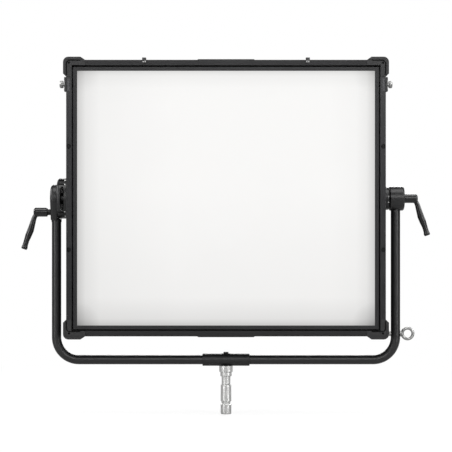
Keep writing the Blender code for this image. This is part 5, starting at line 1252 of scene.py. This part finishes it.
class BuildStudio(bpy.types.Operator):
    """Pale floor, soft lamps, white surroundings and the camera"""
    bl_idname = "panel_light.studio"
    bl_label = "Studio"
    aim = Vector((0, 0, 0.55))

    def execute(self, context):
        studio = context.scene.light_studio
        self.floor(studio.floor_size, studio.floor_bounce)
        self.surroundings(context.scene, studio.ambient)
        for name, place, size, strength in (
                ("left_softbox", (-2.3, -2.1, 1.0), (0.7, 2.4), studio.side_power),
                ("right_softbox", (2.3, -2.1, 1.0), (0.7, 2.4), studio.side_power),
                ("overhead_softbox", (0, -0.5, 2.9), (2.4, 1.4), studio.top_power),
                ("front_softbox", (0.2, -4.6, 2.2), (2.6, 1.6), studio.front_power),
                ("rear_softbox", (0.4, 3.2, 1.9), (2.4, 1.6), studio.back_power),
                ("left_high_softbox", (-3.4, 0.4, 2.2), (2.0, 1.6), studio.flank_power),
                ("right_high_softbox", (3.4, 0.4, 2.2), (2.0, 1.6), studio.flank_power)):
            lamp = bpy.data.lights.new(name, "AREA")
            lamp.shape = "RECTANGLE"
            lamp.size, lamp.size_y = size
            lamp.energy = strength
            holder = place_object(name, lamp)
            holder.location = place
            holder.rotation_euler = (self.aim - Vector(place)).to_track_quat("-Z", "Y").to_euler()
        self.camera(context.scene, studio)
        context.scene.view_settings.view_transform = "Standard"
        return {"FINISHED"}

    def camera(self, scene, studio):
        """Level camera in front of the light."""
        camera = bpy.data.cameras.new("studio_camera")
        camera.lens = studio.focal_length
        camera.sensor_width = 36
        camera.clip_end = 100
        scene.camera = place_object("studio_camera", camera)
        scene.camera.location = (0, -studio.distance, studio.height)
        scene.camera.rotation_euler = (math.pi / 2, 0, 0)

    def floor(self, size, bounce):
        """Pale paper, dimmer in what it throws back at the pieces, and whiter far from them."""
        bm = bmesh.new()
        bmesh.ops.create_grid(bm, x_segments=1, y_segments=1, size=size / 2)
        bmesh.ops.translate(bm, vec=(0, 0, -0.5 * MM), verts=bm.verts)
        ground = place_object("floor", mesh_of(bm, "floor"))
        paper = bpy.data.materials.new("floor_paper")
        made = Shading(paper)
        made.tree.nodes.clear()
        seen = made.node("ShaderNodeLightPath", {}).outputs["Is Camera Ray"]
        tone = made.ranged(seen, bounce, 0.9, 0.0, 1.0)
        matt = made.node("ShaderNodeBsdfDiffuse", {"Color": tone})
        plain = made.node("ShaderNodeEmission", {})
        reach = made.node("ShaderNodeVectorMath", {0: made.place()}, operation="LENGTH")
        fade = made.ranged(reach.outputs["Value"], 0.8, 1.0, 0.25, 1.5, interpolation_type="SMOOTHSTEP")
        mix = made.node("ShaderNodeMixShader", {"Fac": made.maths("MULTIPLY", seen, fade),
                                                1: matt.outputs[0], 2: plain.outputs[0]})
        made.node("ShaderNodeOutputMaterial", {"Surface": mix.outputs[0]})
        ground.data.materials.append(paper)

    def surroundings(self, scene, ambient):
        """White to the camera, and dimmer as light on the pieces."""
        scene.world = bpy.data.worlds.new("white_surroundings")
        made = Shading(scene.world)
        backdrop = made.tree.nodes["Background"]
        rays = made.node("ShaderNodeLightPath", {}).outputs
        strength = ambient
        for ray, level in (("Is Glossy Ray", 0.6 * ambient), ("Is Camera Ray", 1.0),
                           ("Is Transmission Ray", 1.0)):
            inputs = {"Factor": rays[ray], "A": strength, "B": level}
            strength = made.node("ShaderNodeMix", inputs).outputs["Result"]
        made.feed(backdrop.inputs["Color"], (1, 1, 1, 1))
        made.feed(backdrop.inputs["Strength"], strength)


# ---------------------------------------------------------------- panel and run

DRESSING = (DressChassis, DressLightBox, DressCornerGuards, DressRearCover, DressFans, DressControls,
            DressYoke, DressPivots, DressLevers, DressSafetyEye, DressPullPins, BuildStudio)


class PanelLightPanel(bpy.types.Panel):
    """Settings and steps of the panel light"""
    bl_idname = "VIEW3D_PT_panel_light"
    bl_label = "Panel light"
    bl_space_type = "VIEW_3D"
    bl_region_type = "UI"
    bl_category = "Panel light"

    def draw(self, context):
        for name in SETTINGS:
            settings = getattr(context.scene, name)
            box = self.layout.box()
            for key in settings.__annotations__:
                box.prop(settings, key)
        for step in DRESSING:
            self.layout.operator(step.bl_idname)


SETTINGS = {"light_finishes": LightFinishes, "light_sizes": LightSizes, "light_studio": StudioSettings}
CLASSES = (*SETTINGS.values(), *DRESSING, PanelLightPanel)


def register():
    for entry in CLASSES:
        bpy.utils.register_class(entry)
    for name, group in SETTINGS.items():
        setattr(bpy.types.Scene, name, bpy.props.PointerProperty(type=group))


def unregister():
    for name in SETTINGS:
        delattr(bpy.types.Scene, name)
    for entry in reversed(CLASSES):
        bpy.utils.unregister_class(entry)


def main():
    register()
    for step in DRESSING:
        group, name = step.bl_idname.split(".")
        if getattr(getattr(bpy.ops, group), name)() != {"FINISHED"}:
            raise RuntimeError(f"{step.bl_label} didn't finish")


if __name__ == "__main__":
    main()
